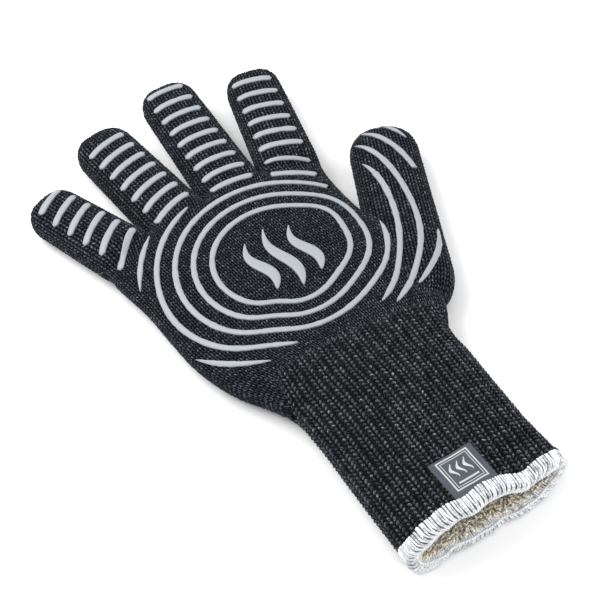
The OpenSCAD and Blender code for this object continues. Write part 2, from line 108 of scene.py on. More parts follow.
def readTable(table, v):
    # cubic through the rows of a table, with the slope of the neighbours
    xs, ys = np.array(table, float).T
    slope = np.gradient(ys, xs)
    v = np.clip(v, xs[0], xs[-1])
    i = np.clip(np.searchsorted(xs, v, side="right") - 1, 0, len(xs) - 2)
    h = xs[i + 1] - xs[i]
    t = (v - xs[i]) / h
    return ((2 * t**3 - 3 * t**2 + 1) * ys[i] + (t**3 - 2 * t**2 + t) * h * slope[i]
            + (-2 * t**3 + 3 * t**2) * ys[i + 1] + (t**3 - t**2) * h * slope[i + 1])


def dome(u):
    return np.maximum(0, 1 - np.minimum(1, np.abs(u)) ** hand["roundness"]) ** (1 / hand["roundness"])


def halfSection(half, up, low, shares, front, roundness):
    # points of one face of a section, at even shares of its length from the left edge to the right one
    if front:
        f = np.radians(np.linspace(180, 0, 73))
        e = 2 / roundness
        v = half * np.sign(np.cos(f)) * np.abs(np.cos(f)) ** e
        z = up * np.sin(f) ** e
        z[0] = z[-1] = 0
    else:
        c = min(hand["corner"], 0.6 * half)
        f = np.radians(np.linspace(0, 90, 15))
        v = np.concatenate([-(half - c + c * np.cos(f)), (half - c + c * np.cos(f))[::-1]])
        z = np.concatenate([-low * np.sin(f), (-low * np.sin(f))[::-1]])
    run = np.concatenate([[0], np.cumsum(np.hypot(np.diff(v), np.diff(z)))])
    at = np.asarray(shares) * run[-1]
    return np.interp(at, run, v), np.interp(at, run, z)


def placedSection(centre, angle, half, up, low, shares, front, roundness=hand["roundness"]):
    v, z = halfSection(half, up, low, shares, front, roundness)
    h = across(angle)
    return np.stack([centre[0] + h[0] * v, centre[1] + h[1] * v, centre[2] + z], axis=1)


mouthSag = {"depth": 6.5, "from": 10.0, "to": 33.0, "start": -138.0, "full": -178.0, "softness": 0.7,
            "rise": 2.0, "curl": 4.0, "widen": 1.5, "endFrom": 28.0, "endTo": 49.0}


def sagged(points, midZ, top, y):
    # the upper layer of the cuff droops towards the thumb side near the mouth
    k = float(smoothStep(-y, -mouthSag["start"], -mouthSag["full"]))
    if k <= 0:
        return points
    high = np.clip((points[:, 2] - midZ) / max(1e-6, top), 0, 1) ** mouthSag["softness"]
    side = smoothStep(points[:, 0], mouthSag["from"], mouthSag["to"])
    points[:, 2] -= mouthSag["depth"] * k * side * high
    end = k * smoothStep(points[:, 0], mouthSag["endFrom"], mouthSag["endTo"])
    points += end[:, None] * np.array([mouthSag["widen"], mouthSag["rise"], mouthSag["curl"]])
    return points


def bodyRing(y, shares, front, sink=0.0):
    # row of the palm or the cuff
    left, right = float(readTable(leftEdge, y)), float(readTable(rightEdge, y))
    t = float(readTable(thickness, y))
    k = min(hand["pastMouth"], max(0.0, (hand["wristY"] - y) / (hand["wristY"] - hand["mouthY"])))
    low = mix(hand["bed"], hand["mouthBed"], k)
    if y < hand["wristY"]:
        angle = 90 + hand["mouthTurn"] * k
    else:
        angle = 90 + hand["webTurn"] * float(np.clip((y - hand["turnStart"]) / hand["turnLength"], 0, 1))
    middle = low + hand["lowShare"] * t
    ring = placedSection(((left + right) / 2, y, middle), angle, (right - left) / 2 - sink,
                         (1 - hand["lowShare"]) * t - sink, hand["lowShare"] * t - sink, shares, front)
    return sagged(ring, middle, (1 - hand["lowShare"]) * t, y)


def fingerShape(name, s):
    # centre, half width, thickness and share of the full section at s along a finger
    f = fingers[name]
    k = np.clip(s / f["length"], 0, 1)
    half = (f["width"] - hand["slim"] * k) / 2
    thick = f["thick"] - hand["thin"] * k
    tip = (f["width"] - hand["slim"]) / 2
    q = max(0.0, (s - f["length"] + tip) / tip)
    power = hand["thumbTipPower"] if name == "thumb" else hand["tipPower"]
    share = max(0.0, 1 - q ** power) ** hand["tipFullness"]
    if name == "thumb" and s < hand["heelFull"]:
        share *= math.sqrt(max(0.0, 1 - ((hand["heelFull"] - s) / hand["heelRound"]) ** 2))
    c = np.array(f["root"]) + s * direction(f["angle"])
    return c, half, thick, share


def fingerRing(name, s, shares, front, sink=0.0):
    c, half, thick, k = fingerShape(name, s)
    z = hand["bed"] + hand["lowShare"] * thick
    return placedSection((c[0], c[1], z), fingers[name]["angle"], half * k - sink,
                         (1 - hand["lowShare"]) * thick * k - sink, hand["lowShare"] * thick * k - sink,
                         shares, front, hand["roundness"] if name == "thumb" else hand["fingerRound"])


def fingerStations(name, start):
    # even steps along a finger and over its rounded tip
    f = fingers[name]
    tip = (f["width"] - hand["slim"]) / 2
    straight = f["length"] - tip - start
    total = straight + tip * math.pi / 2
    n = int(round(total / knit["pitch"]))
    out = []
    for d in np.linspace(0, total, n * knit["perCourse"] + 1):
        past = min(math.pi / 2, (d - straight) / tip)
        out.append(start + d if d < straight else f["length"] - tip + tip * math.sin(past))
    return out


def columnShares(first, count, total):
    steps = np.arange(count * knit["perWale"] + 1) / knit["perWale"]
    return steps, (first + steps) / total


def firstWale(name):
    return sum(fingers[n]["wales"] for n in handOrder[:handOrder.index(name)])


def foldMiddle(name):
    # the place between a finger's two folds where its lower piece ends
    return (fingers[name]["rootFold"] + fingers[name]["middleFold"]) / 2


def nearestStation(stations, at):
    # the number of the station that lies closest to a place
    return min(range(len(stations)), key=lambda i: abs(stations[i] - at))


def sampleRows(rows, at):
    # points between the rows, at each column's own place
    i = np.minimum(at.astype(int), len(rows) - 2)
    t = (at - i)[..., None]
    cols = np.arange(rows.shape[1])[None, :]
    return rows[i, cols] * (1 - t) + rows[i + 1, cols] * t


def shiftRows(rows, steps, chevron):
    # moves each column along its own path, so that the rows run in the V of a knitted stitch
    n = len(rows)
    lift = chevron * np.abs(2 * (steps % 1) - 1) * knit["perCourse"]
    at = np.clip(np.arange(n)[:, None] + lift[None, :] - chevron * knit["perCourse"] / 2, 0, n - 1)
    at[0, :], at[-1, :] = 0, n - 1
    return sampleRows(rows, at)


def wholeFaces(hide):
    # a face is left out where all its corners are
    return hide[:-1, :-1] & hide[1:, 1:] & hide[1:, :-1] & hide[:-1, 1:]


def palmPath(name, front):
    # rows of one finger's columns from the heel of the palm to the finger's tip
    index = handOrder.index(name)
    f = fingers[name]
    steps, shares = columnShares(firstWale(name), f["wales"], totalWales)
    local = steps / f["wales"]
    half = knit["pitch"] / knit["perCourse"]
    plain = int(round((knit["blendStart"] - knit["palmStart"]) / half))
    blended = int(round(knit["blendLength"] / half))
    midZ = hand["bed"] + hand["lowShare"] * f["thick"]
    pulls = []
    for side, c in ((0, index - 1), (1, index)):
        if 0 <= c < len(crotches):
            x, y = crotches[c]
            other = handOrder[index - 1] if side == 0 else handOrder[index + 1]
            back = -(direction(f["angle"]) + direction(fingers[other]["angle"]))
            back /= np.linalg.norm(back)
            pulls.append((side, np.array([x, y, midZ]), np.array([back[0], back[1], 0])))

    def pulled(ring, s):
        for side, point, back in pulls:
            near = np.clip(1 - (local if side == 0 else 1 - local) / knit["pullShare"], 0, 1) ** 2
            edge = ring[0] if side == 0 else ring[-1]
            if s <= 0:
                move = point + back * -s - edge
            else:
                start = fingerRing(name, 0.0, [float(side)], front)[0]
                move = (point - start) * (1 - float(smoothStep(s, 0, knit["pullFade"])))
            ring = ring + near[:, None] * move[None, :]
        return ring

    rows = []
    for i in range(plain):
        rows.append(bodyRing(knit["palmStart"] + i * half, shares, front))
    for i in range(blended):
        b = i / blended
        k = float(smoothStep(b))
        a = bodyRing(knit["blendStart"] + i * half, shares, front)
        s = -knit["blendLength"] * (1 - b)
        # the columns turn into the finger early, and the groove between two fingers starts late
        onFinger = pulled(fingerRing(name, s, local, front), s)
        row = mix(a, onFinger, k)
        row[:, 2] = mix(a[:, 2], onFinger[:, 2], float(smoothStep(b, knit["grooveStart"], 1.0)))
        rows.append(row)
    web = len(rows)
    stations = fingerStations(name, 0.0)
    for s in stations:
        rows.append(pulled(fingerRing(name, s, local, front), s))
    return steps, np.array(rows), web, [None] * web + list(stations)


def thumbPath(front):
    f = fingers["thumb"]
    steps, shares = columnShares(0, f["wales"], f["wales"])
    stations = fingerStations("thumb", hand["heelStart"])
    rows = [fingerRing("thumb", s, shares, front) for s in stations]
    return steps, np.array(rows), stations


def palmTop(x, y):
    # height of the palm's upper face at a point, and how far the point lies inside the thumb's side
    left, right, t = readTable(leftEdge, y), readTable(rightEdge, y), readTable(thickness, y)
    u = (x - (left + right) / 2) / ((right - left) / 2)
    return hand["bed"] + t * (hand["lowShare"] + (1 - hand["lowShare"]) * dome(u)), right - x


def thumbTop(x, y):
    # height of the thumb's upper face at a point, and how far the point lies inside the thumb
    f = fingers["thumb"]
    d, h = direction(f["angle"]), across(f["angle"])
    s = (x - f["root"][0]) * d[0] + (y - f["root"][1]) * d[1]
    v = (x - f["root"][0]) * h[0] + (y - f["root"][1]) * h[1]
    k = np.clip(s / f["length"], 0, 1)
    half = (f["width"] - hand["slim"] * k) / 2
    thick = f["thick"] - hand["thin"] * k
    tip = (f["width"] - hand["slim"]) / 2
    q = np.clip((s - f["length"] + tip) / tip, 0, 1)
    heel = np.clip(hand["heelFull"] - s, 0, None) / hand["heelRound"]
    share = (1 - q * q) ** hand["tipFullness"] * np.sqrt(np.clip(1 - heel ** 2, 1e-4, 1))
    u = v / (half * share)
    z = hand["bed"] + thick * (hand["lowShare"] + (1 - hand["lowShare"]) * share * dome(u))
    inside = half * share - np.abs(v)
    return z, inside


gore = {"soft": 4.0, "sink": 1.6, "fade": 3.5, "cut": 5.0}


def joinGore(points, front, onThumb):
    # where palm and thumb overlap, both lie on one smooth height
    # past the seam, each sinks under the other
    x, y, z = points[..., 0], points[..., 1], points[..., 2].copy()
    zp, inPalm = palmTop(x, y)
    zt, inThumb = thumbTop(x, y)
    both = (inPalm > 0) & (inThumb > 0)
    if front:
        own, other = (zt, zp) if onThumb else (zp, zt)
        gap = np.maximum(gore["soft"] - np.abs(own - other), 0) / gore["soft"]
        top = np.maximum(own, other) + gap**3 * gore["soft"] / 6
        z = np.where(both, z + np.maximum(0, top - own), z)
    seam = (inThumb - inPalm) / 2
    side = seam if not onThumb else -seam
    sunk = gore["sink"] * smoothStep(side, 0, gore["fade"])
    z = np.where(both, z - sunk if front else z + sunk, z)
    out = points.copy()
    out[..., 2] = z
    return out, both & (side > gore["cut"])


wristSeam = {"y": -62.5, "drop": 18.5, "left": (35, 42), "right": (47, 52), "middle": 5.5, "side": (34, 41),
             "sink": 1.5, "fade": 3.0, "cut": 4.5}


def ribBorder(x):
    # where the plain knit of the palm ends and the ribs begin, lower at both sides
    left, right = smoothStep(-x, *wristSeam["left"]), smoothStep(x, *wristSeam["right"])
    return wristSeam["y"] - wristSeam["drop"] * left - wristSeam["drop"] * right


def tuck(points, front, onCuff):
    # each of the two sheets sinks under the other past the border, inwards where the glove is rounded
    d = points[..., 1] - ribBorder(points[..., 0])
    d = d if onCuff else -d
    out = points.copy()
    sink = wristSeam["sink"] * smoothStep(d, 0, wristSeam["fade"])
    fromMiddle = points[..., 0] - wristSeam["middle"]
    edge = smoothStep(np.abs(fromMiddle), *wristSeam["side"])
    out[..., 2] += (-1 if front else 1) * sink * (1 - edge)
    out[..., 0] -= np.sign(fromMiddle) * sink * edge
    return out, d > wristSeam["cut"]


class Patch:
    # collects rows of points with their places in the knitting
    def __init__(self):
        self.points, self.faces, self.wale, self.course, self.count = [], [], [], [], 0

    def add(self, steps, rows, firstRow, lastRow, front, waleStart, keep=None, perCourse=knit["perCourse"]):
        grid = rows[firstRow:lastRow + 1]
        n, m = grid.shape[:2]
        self.points.append(grid.reshape(-1, 3))
        course = (np.arange(firstRow, lastRow + 1) / perCourse)[:, None] + np.zeros((1, m))
        self.wale.append((np.zeros((n, 1)) + steps[None, :] + waleStart).ravel())
        self.course.append(course.ravel())
        i, j = np.meshgrid(np.arange(n - 1), np.arange(m - 1), indexing="ij")
        a = i * m + j + self.count
        quads = np.stack([a, a + 1, a + m + 1, a + m] if front else [a, a + m, a + m + 1, a + 1], axis=-1)
        if keep is not None:
            quads = quads[keep[firstRow:lastRow][:n - 1]]
        self.faces.append(quads.reshape(-1, 4))
        self.count += n * m

    def mesh(self, name):
        return meshFrom(name, np.concatenate(self.points) * mm, np.concatenate(self.faces).tolist(),
                        {"wale": np.concatenate(self.wale), "course": np.concatenate(self.course)})


def addObject(name, data):
    ob = bpy.data.objects.new(name, data)
    bpy.context.collection.objects.link(ob)
    return ob


def meshFrom(name, points, faces, values=None):
    me = bpy.data.meshes.new(name)
    me.from_pydata(points.tolist(), [], faces)
    for key, data in (values or {}).items():
        layer = me.attributes.new(key, "FLOAT", "POINT")
        layer.data.foreach_set("value", np.asarray(data, np.float32))
    bm = bmesh.new()
    bm.from_mesh(me)
    bmesh.ops.remove_doubles(bm, verts=bm.verts, dist=weld)
    loose = [v for v in bm.verts if not v.link_faces]
    bmesh.ops.delete(bm, geom=loose, context="VERTS")
    bm.to_mesh(me)
    bm.free()
    me.polygons.foreach_set("use_smooth", [True] * len(me.polygons))
    return addObject(name, me)


def newTree(name, inputs):
    tree = bpy.data.node_groups.new(name, "GeometryNodeTree")
    tree.interface.new_socket("Geometry", in_out="INPUT", socket_type="NodeSocketGeometry")
    for label, kind, value in inputs:
        s = tree.interface.new_socket(label, in_out="INPUT", socket_type="NodeSocket" + kind)
        if value is not None:
            s.default_value = value
    tree.interface.new_socket("Geometry", in_out="OUTPUT", socket_type="NodeSocketGeometry")
    return tree, tree.nodes.new("NodeGroupInput"), tree.nodes.new("NodeGroupOutput")


def mathNode(tree, operation, a, b=None):
    node = tree.nodes.new("ShaderNodeMath")
    node.operation = operation
    for i, v in enumerate((a, b)):
        if v is None:
            continue
        if isinstance(v, (int, float)):
            node.inputs[i].default_value = v
        else:
            tree.links.new(v, node.inputs[i])
    return node.outputs[0]


def humps(tree, value, pace):
    # an even row of humps between nothing and one
    return mathNode(tree, "ABSOLUTE", mathNode(tree, "SINE", mathNode(tree, "MULTIPLY", value, pace)))


def scaled(tree, vector, factor):
    node = tree.nodes.new("ShaderNodeVectorMath")
    node.operation = "SCALE"
    tree.links.new(vector, node.inputs[0])
    tree.links.new(factor, node.inputs["Scale"])
    return node.outputs[0]


def finishTree(tree, start, end, geometry):
    real = tree.nodes.new("GeometryNodeRealizeInstances")
    tree.links.new(geometry, real.inputs[0])
    paint = tree.nodes.new("GeometryNodeSetMaterial")
    tree.links.new(real.outputs[0], paint.inputs["Geometry"])
    tree.links.new(start.outputs["Material"], paint.inputs["Material"])
    tree.links.new(paint.outputs[0], end.inputs[0])
    return tree


def namedFloat(tree, name):
    node = tree.nodes.new("GeometryNodeInputNamedAttribute")
    node.data_type = "FLOAT"
    node.inputs["Name"].default_value = name
    return node.outputs["Attribute"]


def buildKnitTree():
    # raises the two legs of every stitch, from its place in wales and courses
    tree, start, end = newTree("knitRelief", [("Depth", "Float", 0.0006), ("Valley", "Float", 0.25),
                                              ("Unevenness", "Float", 0.25), ("Material", "Material", None)])
    wale, course = namedFloat(tree, "wale"), namedFloat(tree, "course")
    legs = mathNode(tree, "POWER", humps(tree, wale, 2 * math.pi), 0.75)  # a lower power makes fuller legs
    turn = mathNode(tree, "POWER", humps(tree, course, math.pi), 0.6)
    lift = mathNode(tree, "ADD", start.outputs["Valley"], mathNode(
        tree, "MULTIPLY", turn, mathNode(tree, "SUBTRACT", 1.0, start.outputs["Valley"])))
    height = mathNode(tree, "MULTIPLY", legs, lift)
    stitch = tree.nodes.new("ShaderNodeCombineXYZ")
    tree.links.new(mathNode(tree, "FLOOR", mathNode(tree, "MULTIPLY", wale, 2.0)), stitch.inputs[0])
    tree.links.new(mathNode(tree, "FLOOR", course), stitch.inputs[1])
    chance = tree.nodes.new("ShaderNodeTexWhiteNoise")
    chance.noise_dimensions = "3D"
    tree.links.new(stitch.outputs[0], chance.inputs["Vector"])
    uneven = mathNode(tree, "ADD", 1.0, mathNode(tree, "MULTIPLY", mathNode(
        tree, "SUBTRACT", chance.outputs["Value"], 0.5), start.outputs["Unevenness"]))
    height = mathNode(tree, "MULTIPLY", mathNode(tree, "MULTIPLY", height, uneven), start.outputs["Depth"])
    normal = tree.nodes.new("GeometryNodeInputNormal")
    move = tree.nodes.new("GeometryNodeSetPosition")
    tree.links.new(start.outputs["Geometry"], move.inputs["Geometry"])
    tree.links.new(scaled(tree, normal.outputs[0], height), move.inputs["Offset"])
    return finishTree(tree, start, end, move.outputs[0])


def runTree(ob, tree, **values):
    # puts the tree on the object, sets its inputs, and keeps the result as a plain mesh
    mod = ob.modifiers.new(tree.name, "NODES")
    mod.node_group = tree
    ids = {s.name.replace(" ", ""): s.identifier for s in tree.interface.items_tree
           if getattr(s, "in_out", "") == "INPUT"}
    for key, value in values.items():
        mod[ids[key]] = value
    bpy.context.view_layer.update()
    graph = bpy.context.evaluated_depsgraph_get()
    me = bpy.data.meshes.new_from_object(ob.evaluated_get(graph), preserve_all_data_layers=True,
                                         depsgraph=graph)
    old = ob.data
    ob.modifiers.remove(mod)
    ob.data = me
    me.name = ob.name
    bpy.data.meshes.remove(old)
    if not len(me.materials) and "Material" in values:
        me.materials.append(values["Material"])
    return ob


def shaderGroup(name, inputs, outputs):
    tree = bpy.data.node_groups.new(name, "ShaderNodeTree")
    for label, kind, value in inputs:
        s = tree.interface.new_socket(label, in_out="INPUT", socket_type="NodeSocket" + kind)
        s.default_value = value
    for label, kind in outputs:
        tree.interface.new_socket(label, in_out="OUTPUT", socket_type="NodeSocket" + kind)
    return tree, tree.nodes.new("NodeGroupInput"), tree.nodes.new("NodeGroupOutput")


def mixColour(tree, factor, a, b):
    node = tree.nodes.new("ShaderNodeMix")
    node.data_type = "RGBA"
    for socket, v in ((node.inputs[0], factor), (node.inputs[6], a), (node.inputs[7], b)):
        if isinstance(v, (int, float, tuple)):
            socket.default_value = v
        else:
            tree.links.new(v, socket)
    return node.outputs[2]


def objectNoise(tree, scale, detail=2.0):
    place = tree.nodes.new("ShaderNodeTexCoord")
    noise = tree.nodes.new("ShaderNodeTexNoise")
    noise.inputs["Scale"].default_value = scale
    noise.inputs["Detail"].default_value = detail
    tree.links.new(place.outputs["Object"], noise.inputs["Vector"])
    return noise.outputs["Fac"]


def attributeValue(tree, name):
    node = tree.nodes.new("ShaderNodeAttribute")
    node.attribute_name = name
    return node.outputs["Fac"]


def addBump(tree, bsdf, height, strength, distance):
    bump = tree.nodes.new("ShaderNodeBump")
    bump.inputs["Strength"].default_value = strength
    bump.inputs["Distance"].default_value = distance
    tree.links.new(height, bump.inputs["Height"])
    tree.links.new(bump.outputs[0], bsdf.inputs["Normal"])


def buildYarnGroup():
    # heathered yarn: flecks of a lighter fibre, and a hairy surface
    tree, start, end = shaderGroup("heatherYarn", [
        ("Dark", "Color", (0.02, 0.021, 0.024, 1)), ("Light", "Color", (0.2, 0.21, 0.23, 1)),
        ("Fleck Size", "Float", 900.0), ("Fleck Share", "Float", 0.5), ("Fibre Size", "Float", 5000.0)],
        [("Color", "Color"), ("Height", "Float")])
    place = tree.nodes.new("ShaderNodeTexCoord")
    fleck = tree.nodes.new("ShaderNodeTexNoise")
    fleck.inputs["Detail"].default_value = 3.0
    fleck.inputs["Roughness"].default_value = 0.65
    tree.links.new(place.outputs["Object"], fleck.inputs["Vector"])
    tree.links.new(start.outputs["Fleck Size"], fleck.inputs["Scale"])
    ramp = tree.nodes.new("ShaderNodeMapRange")
    ramp.interpolation_type = "SMOOTHSTEP"
    tree.links.new(fleck.outputs["Fac"], ramp.inputs["Value"])
    for label, edge in (("From Min", 0.95), ("From Max", 1.2)):
        lower = mathNode(tree, "MULTIPLY", start.outputs["Fleck Share"], 0.6)
        tree.links.new(mathNode(tree, "SUBTRACT", edge, lower), ramp.inputs[label])
    fibre = tree.nodes.new("ShaderNodeTexNoise")
    fibre.inputs["Detail"].default_value = 2.0
    tree.links.new(place.outputs["Object"], fibre.inputs["Vector"])
    tree.links.new(start.outputs["Fibre Size"], fibre.inputs["Scale"])
    tone = mixColour(tree, ramp.outputs[0], start.outputs["Dark"], start.outputs["Light"])
    shade = mathNode(tree, "ADD", 0.65, mathNode(tree, "MULTIPLY", fibre.outputs["Fac"], 0.7))
    tree.links.new(scaled(tree, tone, shade), end.inputs["Color"])
    tree.links.new(fibre.outputs["Fac"], end.inputs["Height"])
    return tree


def buildStitchGroup():
    # tone and height of a knitted stitch: painted shade in the gaps between legs and in the grooves of the
    # twisted plies, legs of uneven tone, and the twist of the plies on them
    tree, start, end = shaderGroup("knitStitch", [
        ("Gap", "Float", 0.08), ("Darkest", "Float", 0.4), ("Lightest", "Float", 2.0),
        ("Plies", "Float", 5.0), ("Slimness", "Float", 2.2)],
        [("Tone", "Float"), ("Height", "Float")])
    wale, course = attributeValue(tree, "wale"), attributeValue(tree, "course")
    cell = tree.nodes.new("ShaderNodeCombineXYZ")
    leg = mathNode(tree, "FLOOR", mathNode(tree, "MULTIPLY", wale, 2.0))
    tree.links.new(leg, cell.inputs[0])
    tree.links.new(mathNode(tree, "FLOOR", course), cell.inputs[1])
    chance = tree.nodes.new("ShaderNodeTexWhiteNoise")
    tree.links.new(cell.outputs[0], chance.inputs["Vector"])
    gap, turn = humps(tree, wale, 2 * math.pi), humps(tree, course, math.pi)
    slimness = start.outputs["Slimness"]
    shape = mathNode(tree, "MULTIPLY", mathNode(tree, "POWER", gap, slimness),
                     mathNode(tree, "POWER", turn, mathNode(tree, "MULTIPLY", slimness, 0.7)))
    isRight = mathNode(tree, "MODULO", leg, 2.0)
    side = mathNode(tree, "SUBTRACT", mathNode(tree, "MULTIPLY", isRight, 2.0), 1.0)
    slant = mathNode(tree, "ADD", mathNode(tree, "MULTIPLY", course, start.outputs["Plies"]), mathNode(
        tree, "MULTIPLY", side, mathNode(tree, "MULTIPLY", wale, 6.0)))
    ply = mathNode(tree, "SINE", mathNode(tree, "MULTIPLY", slant, 2 * math.pi))
    reach = mathNode(tree, "SUBTRACT", start.outputs["Lightest"], start.outputs["Darkest"])
    spread = mathNode(tree, "MULTIPLY", reach,
                      mathNode(tree, "POWER", chance.outputs["Value"], 1.8))
    # painted shade: the tone falls towards the gap share between the legs and where they pass under the next
    # course
    lit = mathNode(tree, "ADD", start.outputs["Gap"], mathNode(
        tree, "MULTIPLY", shape, mathNode(tree, "SUBTRACT", 1.0, start.outputs["Gap"])))
    tone = mathNode(tree, "MULTIPLY", lit, mathNode(tree, "ADD", start.outputs["Darkest"], spread))
    # painted shade in the grooves between the twisted plies
    tone = mathNode(tree, "MULTIPLY", tone, mathNode(tree, "ADD", 1.0, mathNode(tree, "MULTIPLY", ply, 0.16)))
    tree.links.new(tone, end.inputs["Tone"])
    tree.links.new(mathNode(tree, "ADD", shape, mathNode(tree, "MULTIPLY", ply, 0.12)), end.inputs["Height"])
    return tree


yarnGroup = buildYarnGroup()
stitchGroup = buildStitchGroup()


def principled(name):
    mat = bpy.data.materials.new(name)
    mat.use_nodes = True
    return mat, mat.node_tree, mat.node_tree.nodes["Principled BSDF"]


def yarnMaterial(name, dark, light, fleckSize, fleckShare, gap, darkest, lightest):
    mat, tree, bsdf = principled(name)
    yarn = tree.nodes.new("ShaderNodeGroup")
    yarn.node_tree = yarnGroup
    for label, value in (("Dark", dark + (1,)), ("Light", light + (1,)), ("Fleck Size", fleckSize),
                         ("Fleck Share", fleckShare)):
        yarn.inputs[label].default_value = value
    stitch = tree.nodes.new("ShaderNodeGroup")
    stitch.node_tree = stitchGroup
    # gap is the share of tone left as painted shade in the gaps between stitch legs
    for label, value in (("Gap", gap), ("Darkest", darkest), ("Lightest", lightest)):
        stitch.inputs[label].default_value = value
    tree.links.new(scaled(tree, yarn.outputs["Color"], stitch.outputs["Tone"]), bsdf.inputs["Base Color"])
    bsdf.inputs["Roughness"].default_value = 0.95
    bsdf.inputs["Sheen Weight"].default_value = 0.02
    bsdf.inputs["Sheen Roughness"].default_value = 0.5
    bsdf.inputs["Specular IOR Level"].default_value = 0.04
    fibres = mathNode(tree, "MULTIPLY", yarn.outputs["Height"], 0.5)
    addBump(tree, bsdf, mathNode(tree, "ADD", stitch.outputs["Height"], fibres), 0.6, 0.0006)
    return mat


def siliconeMaterial():
    mat, tree, bsdf = principled("greySilicone")
    grain = objectNoise(tree, 1600.0, 3.0)
    grey = mixColour(tree, grain, (0.26, 0.282, 0.305, 1), (0.36, 0.385, 0.41, 1))
    tree.links.new(grey, bsdf.inputs["Base Color"])
    rough = tree.nodes.new("ShaderNodeMapRange")
    rough.inputs["To Min"].default_value = 0.42
    rough.inputs["To Max"].default_value = 0.62
    tree.links.new(grain, rough.inputs["Value"])
    tree.links.new(rough.outputs[0], bsdf.inputs["Roughness"])
    addBump(tree, bsdf, grain, 0.4, 0.0003)
    return mat


# gap sets the painted shade between the stitch legs
blackKnit = yarnMaterial("blackHeatherKnit", (0.017, 0.0205, 0.026), (0.125, 0.135, 0.152),
                         fleckSize=1500.0, fleckShare=0.76, gap=0.03, darkest=1.5, lightest=4.2)
ribKnit = yarnMaterial("blackRibKnit", (0.0175, 0.020, 0.0245), (0.145, 0.152, 0.165),
                       fleckSize=1400.0, fleckShare=0.76, gap=0.035, darkest=1.6, lightest=4.6)
greySilicone = siliconeMaterial()
print("materials ready")

knitTree = buildKnitTree()
pieces = {}
topRows = []


def knitPiece(name, patch, material=blackKnit, depth=knit["depth"]):
    ob = patch.mesh(name)
    return runTree(ob, knitTree, Depth=depth * mm, Valley=knit["valley"], Unevenness=knit["unevenness"],
                   Material=material)


# where each sheet's wales start, so that no two sheets have the same uneven stitches
thumbWales, backWales, cuffWales, cuffBackWales = 100, 200, 500, 600
palmFront, palmBack = Patch(), Patch()
fingerParts = {}
for name in handOrder:
    for front in (True, False):
        first = firstWale(name) + (0 if front else backWales)
        steps, rows, web, stations = palmPath(name, front)
        joined, hide = joinGore(rows[:web + 1], front, False)
        joined, under = tuck(joined, front, False)
        hide = hide | under
        rows[:web + 1] = joined
        rows = shiftRows(rows, steps, knit["chevron"])
        (palmFront if front else palmBack).add(steps, rows, 0, web, front, first, ~wholeFaces(hide))
        middle = web + nearestStation(stations[web:], foldMiddle(name))
        parts = fingerParts.setdefault(name, (Patch(), Patch()))
        parts[0].add(steps, rows, web, middle, front, first)
        parts[1].add(steps, rows, middle, len(rows) - 1, front, first)
        if front:
            topRows.append(rows)
thumbParts = (Patch(), Patch())
for front in (True, False):
    first = thumbWales + (0 if front else backWales)
    steps, rows, stations = thumbPath(front)
    rows, hide = joinGore(rows, front, True)
    rows = shiftRows(rows, steps, knit["chevron"])
    hide = hide[:-1, :-1] | hide[1:, 1:]
    middle = nearestStation(stations, foldMiddle("thumb"))
    thumbParts[0].add(steps, rows, 0, middle, front, first, ~hide)
    thumbParts[1].add(steps, rows, middle, len(rows) - 1, front, first)
    if front:
        topRows.append(rows)
pieces["palmKnitFront"] = knitPiece("palmKnitFront", palmFront)
pieces["palmKnitBack"] = knitPiece("palmKnitBack", palmBack)
for name, parts in list(fingerParts.items()) + [("thumb", thumbParts)]:
    for part, patch in zip(("Lower", "Upper"), parts):
        pieces[name + part + "Knit"] = knitPiece(name + part + "Knit", patch)
print("palm and fingers knitted", sum(len(o.data.polygons) for o in pieces.values()))

# purl is the wale place of the sunk columns, near a gap between legs, which paints them dark as shade
cuff = {"top": -56.0, "straight": -84.0, "end": -176.0, "course": 2.35, "perCourse": 4, "ribs": 17,
        "columns": (0, 0.08, 0.2, 0.32, 0.42, 0.5, 0.58, 0.68, 0.8, 0.92), "knitShare": 0.71,
        "slope": (0.04, 0.30), "purl": 0.09, "ribDepth": 1.7, "depth": 0.95, "chevron": 0.8,
        "flatten": 0.75, "flattenOver": (-80, -61)}


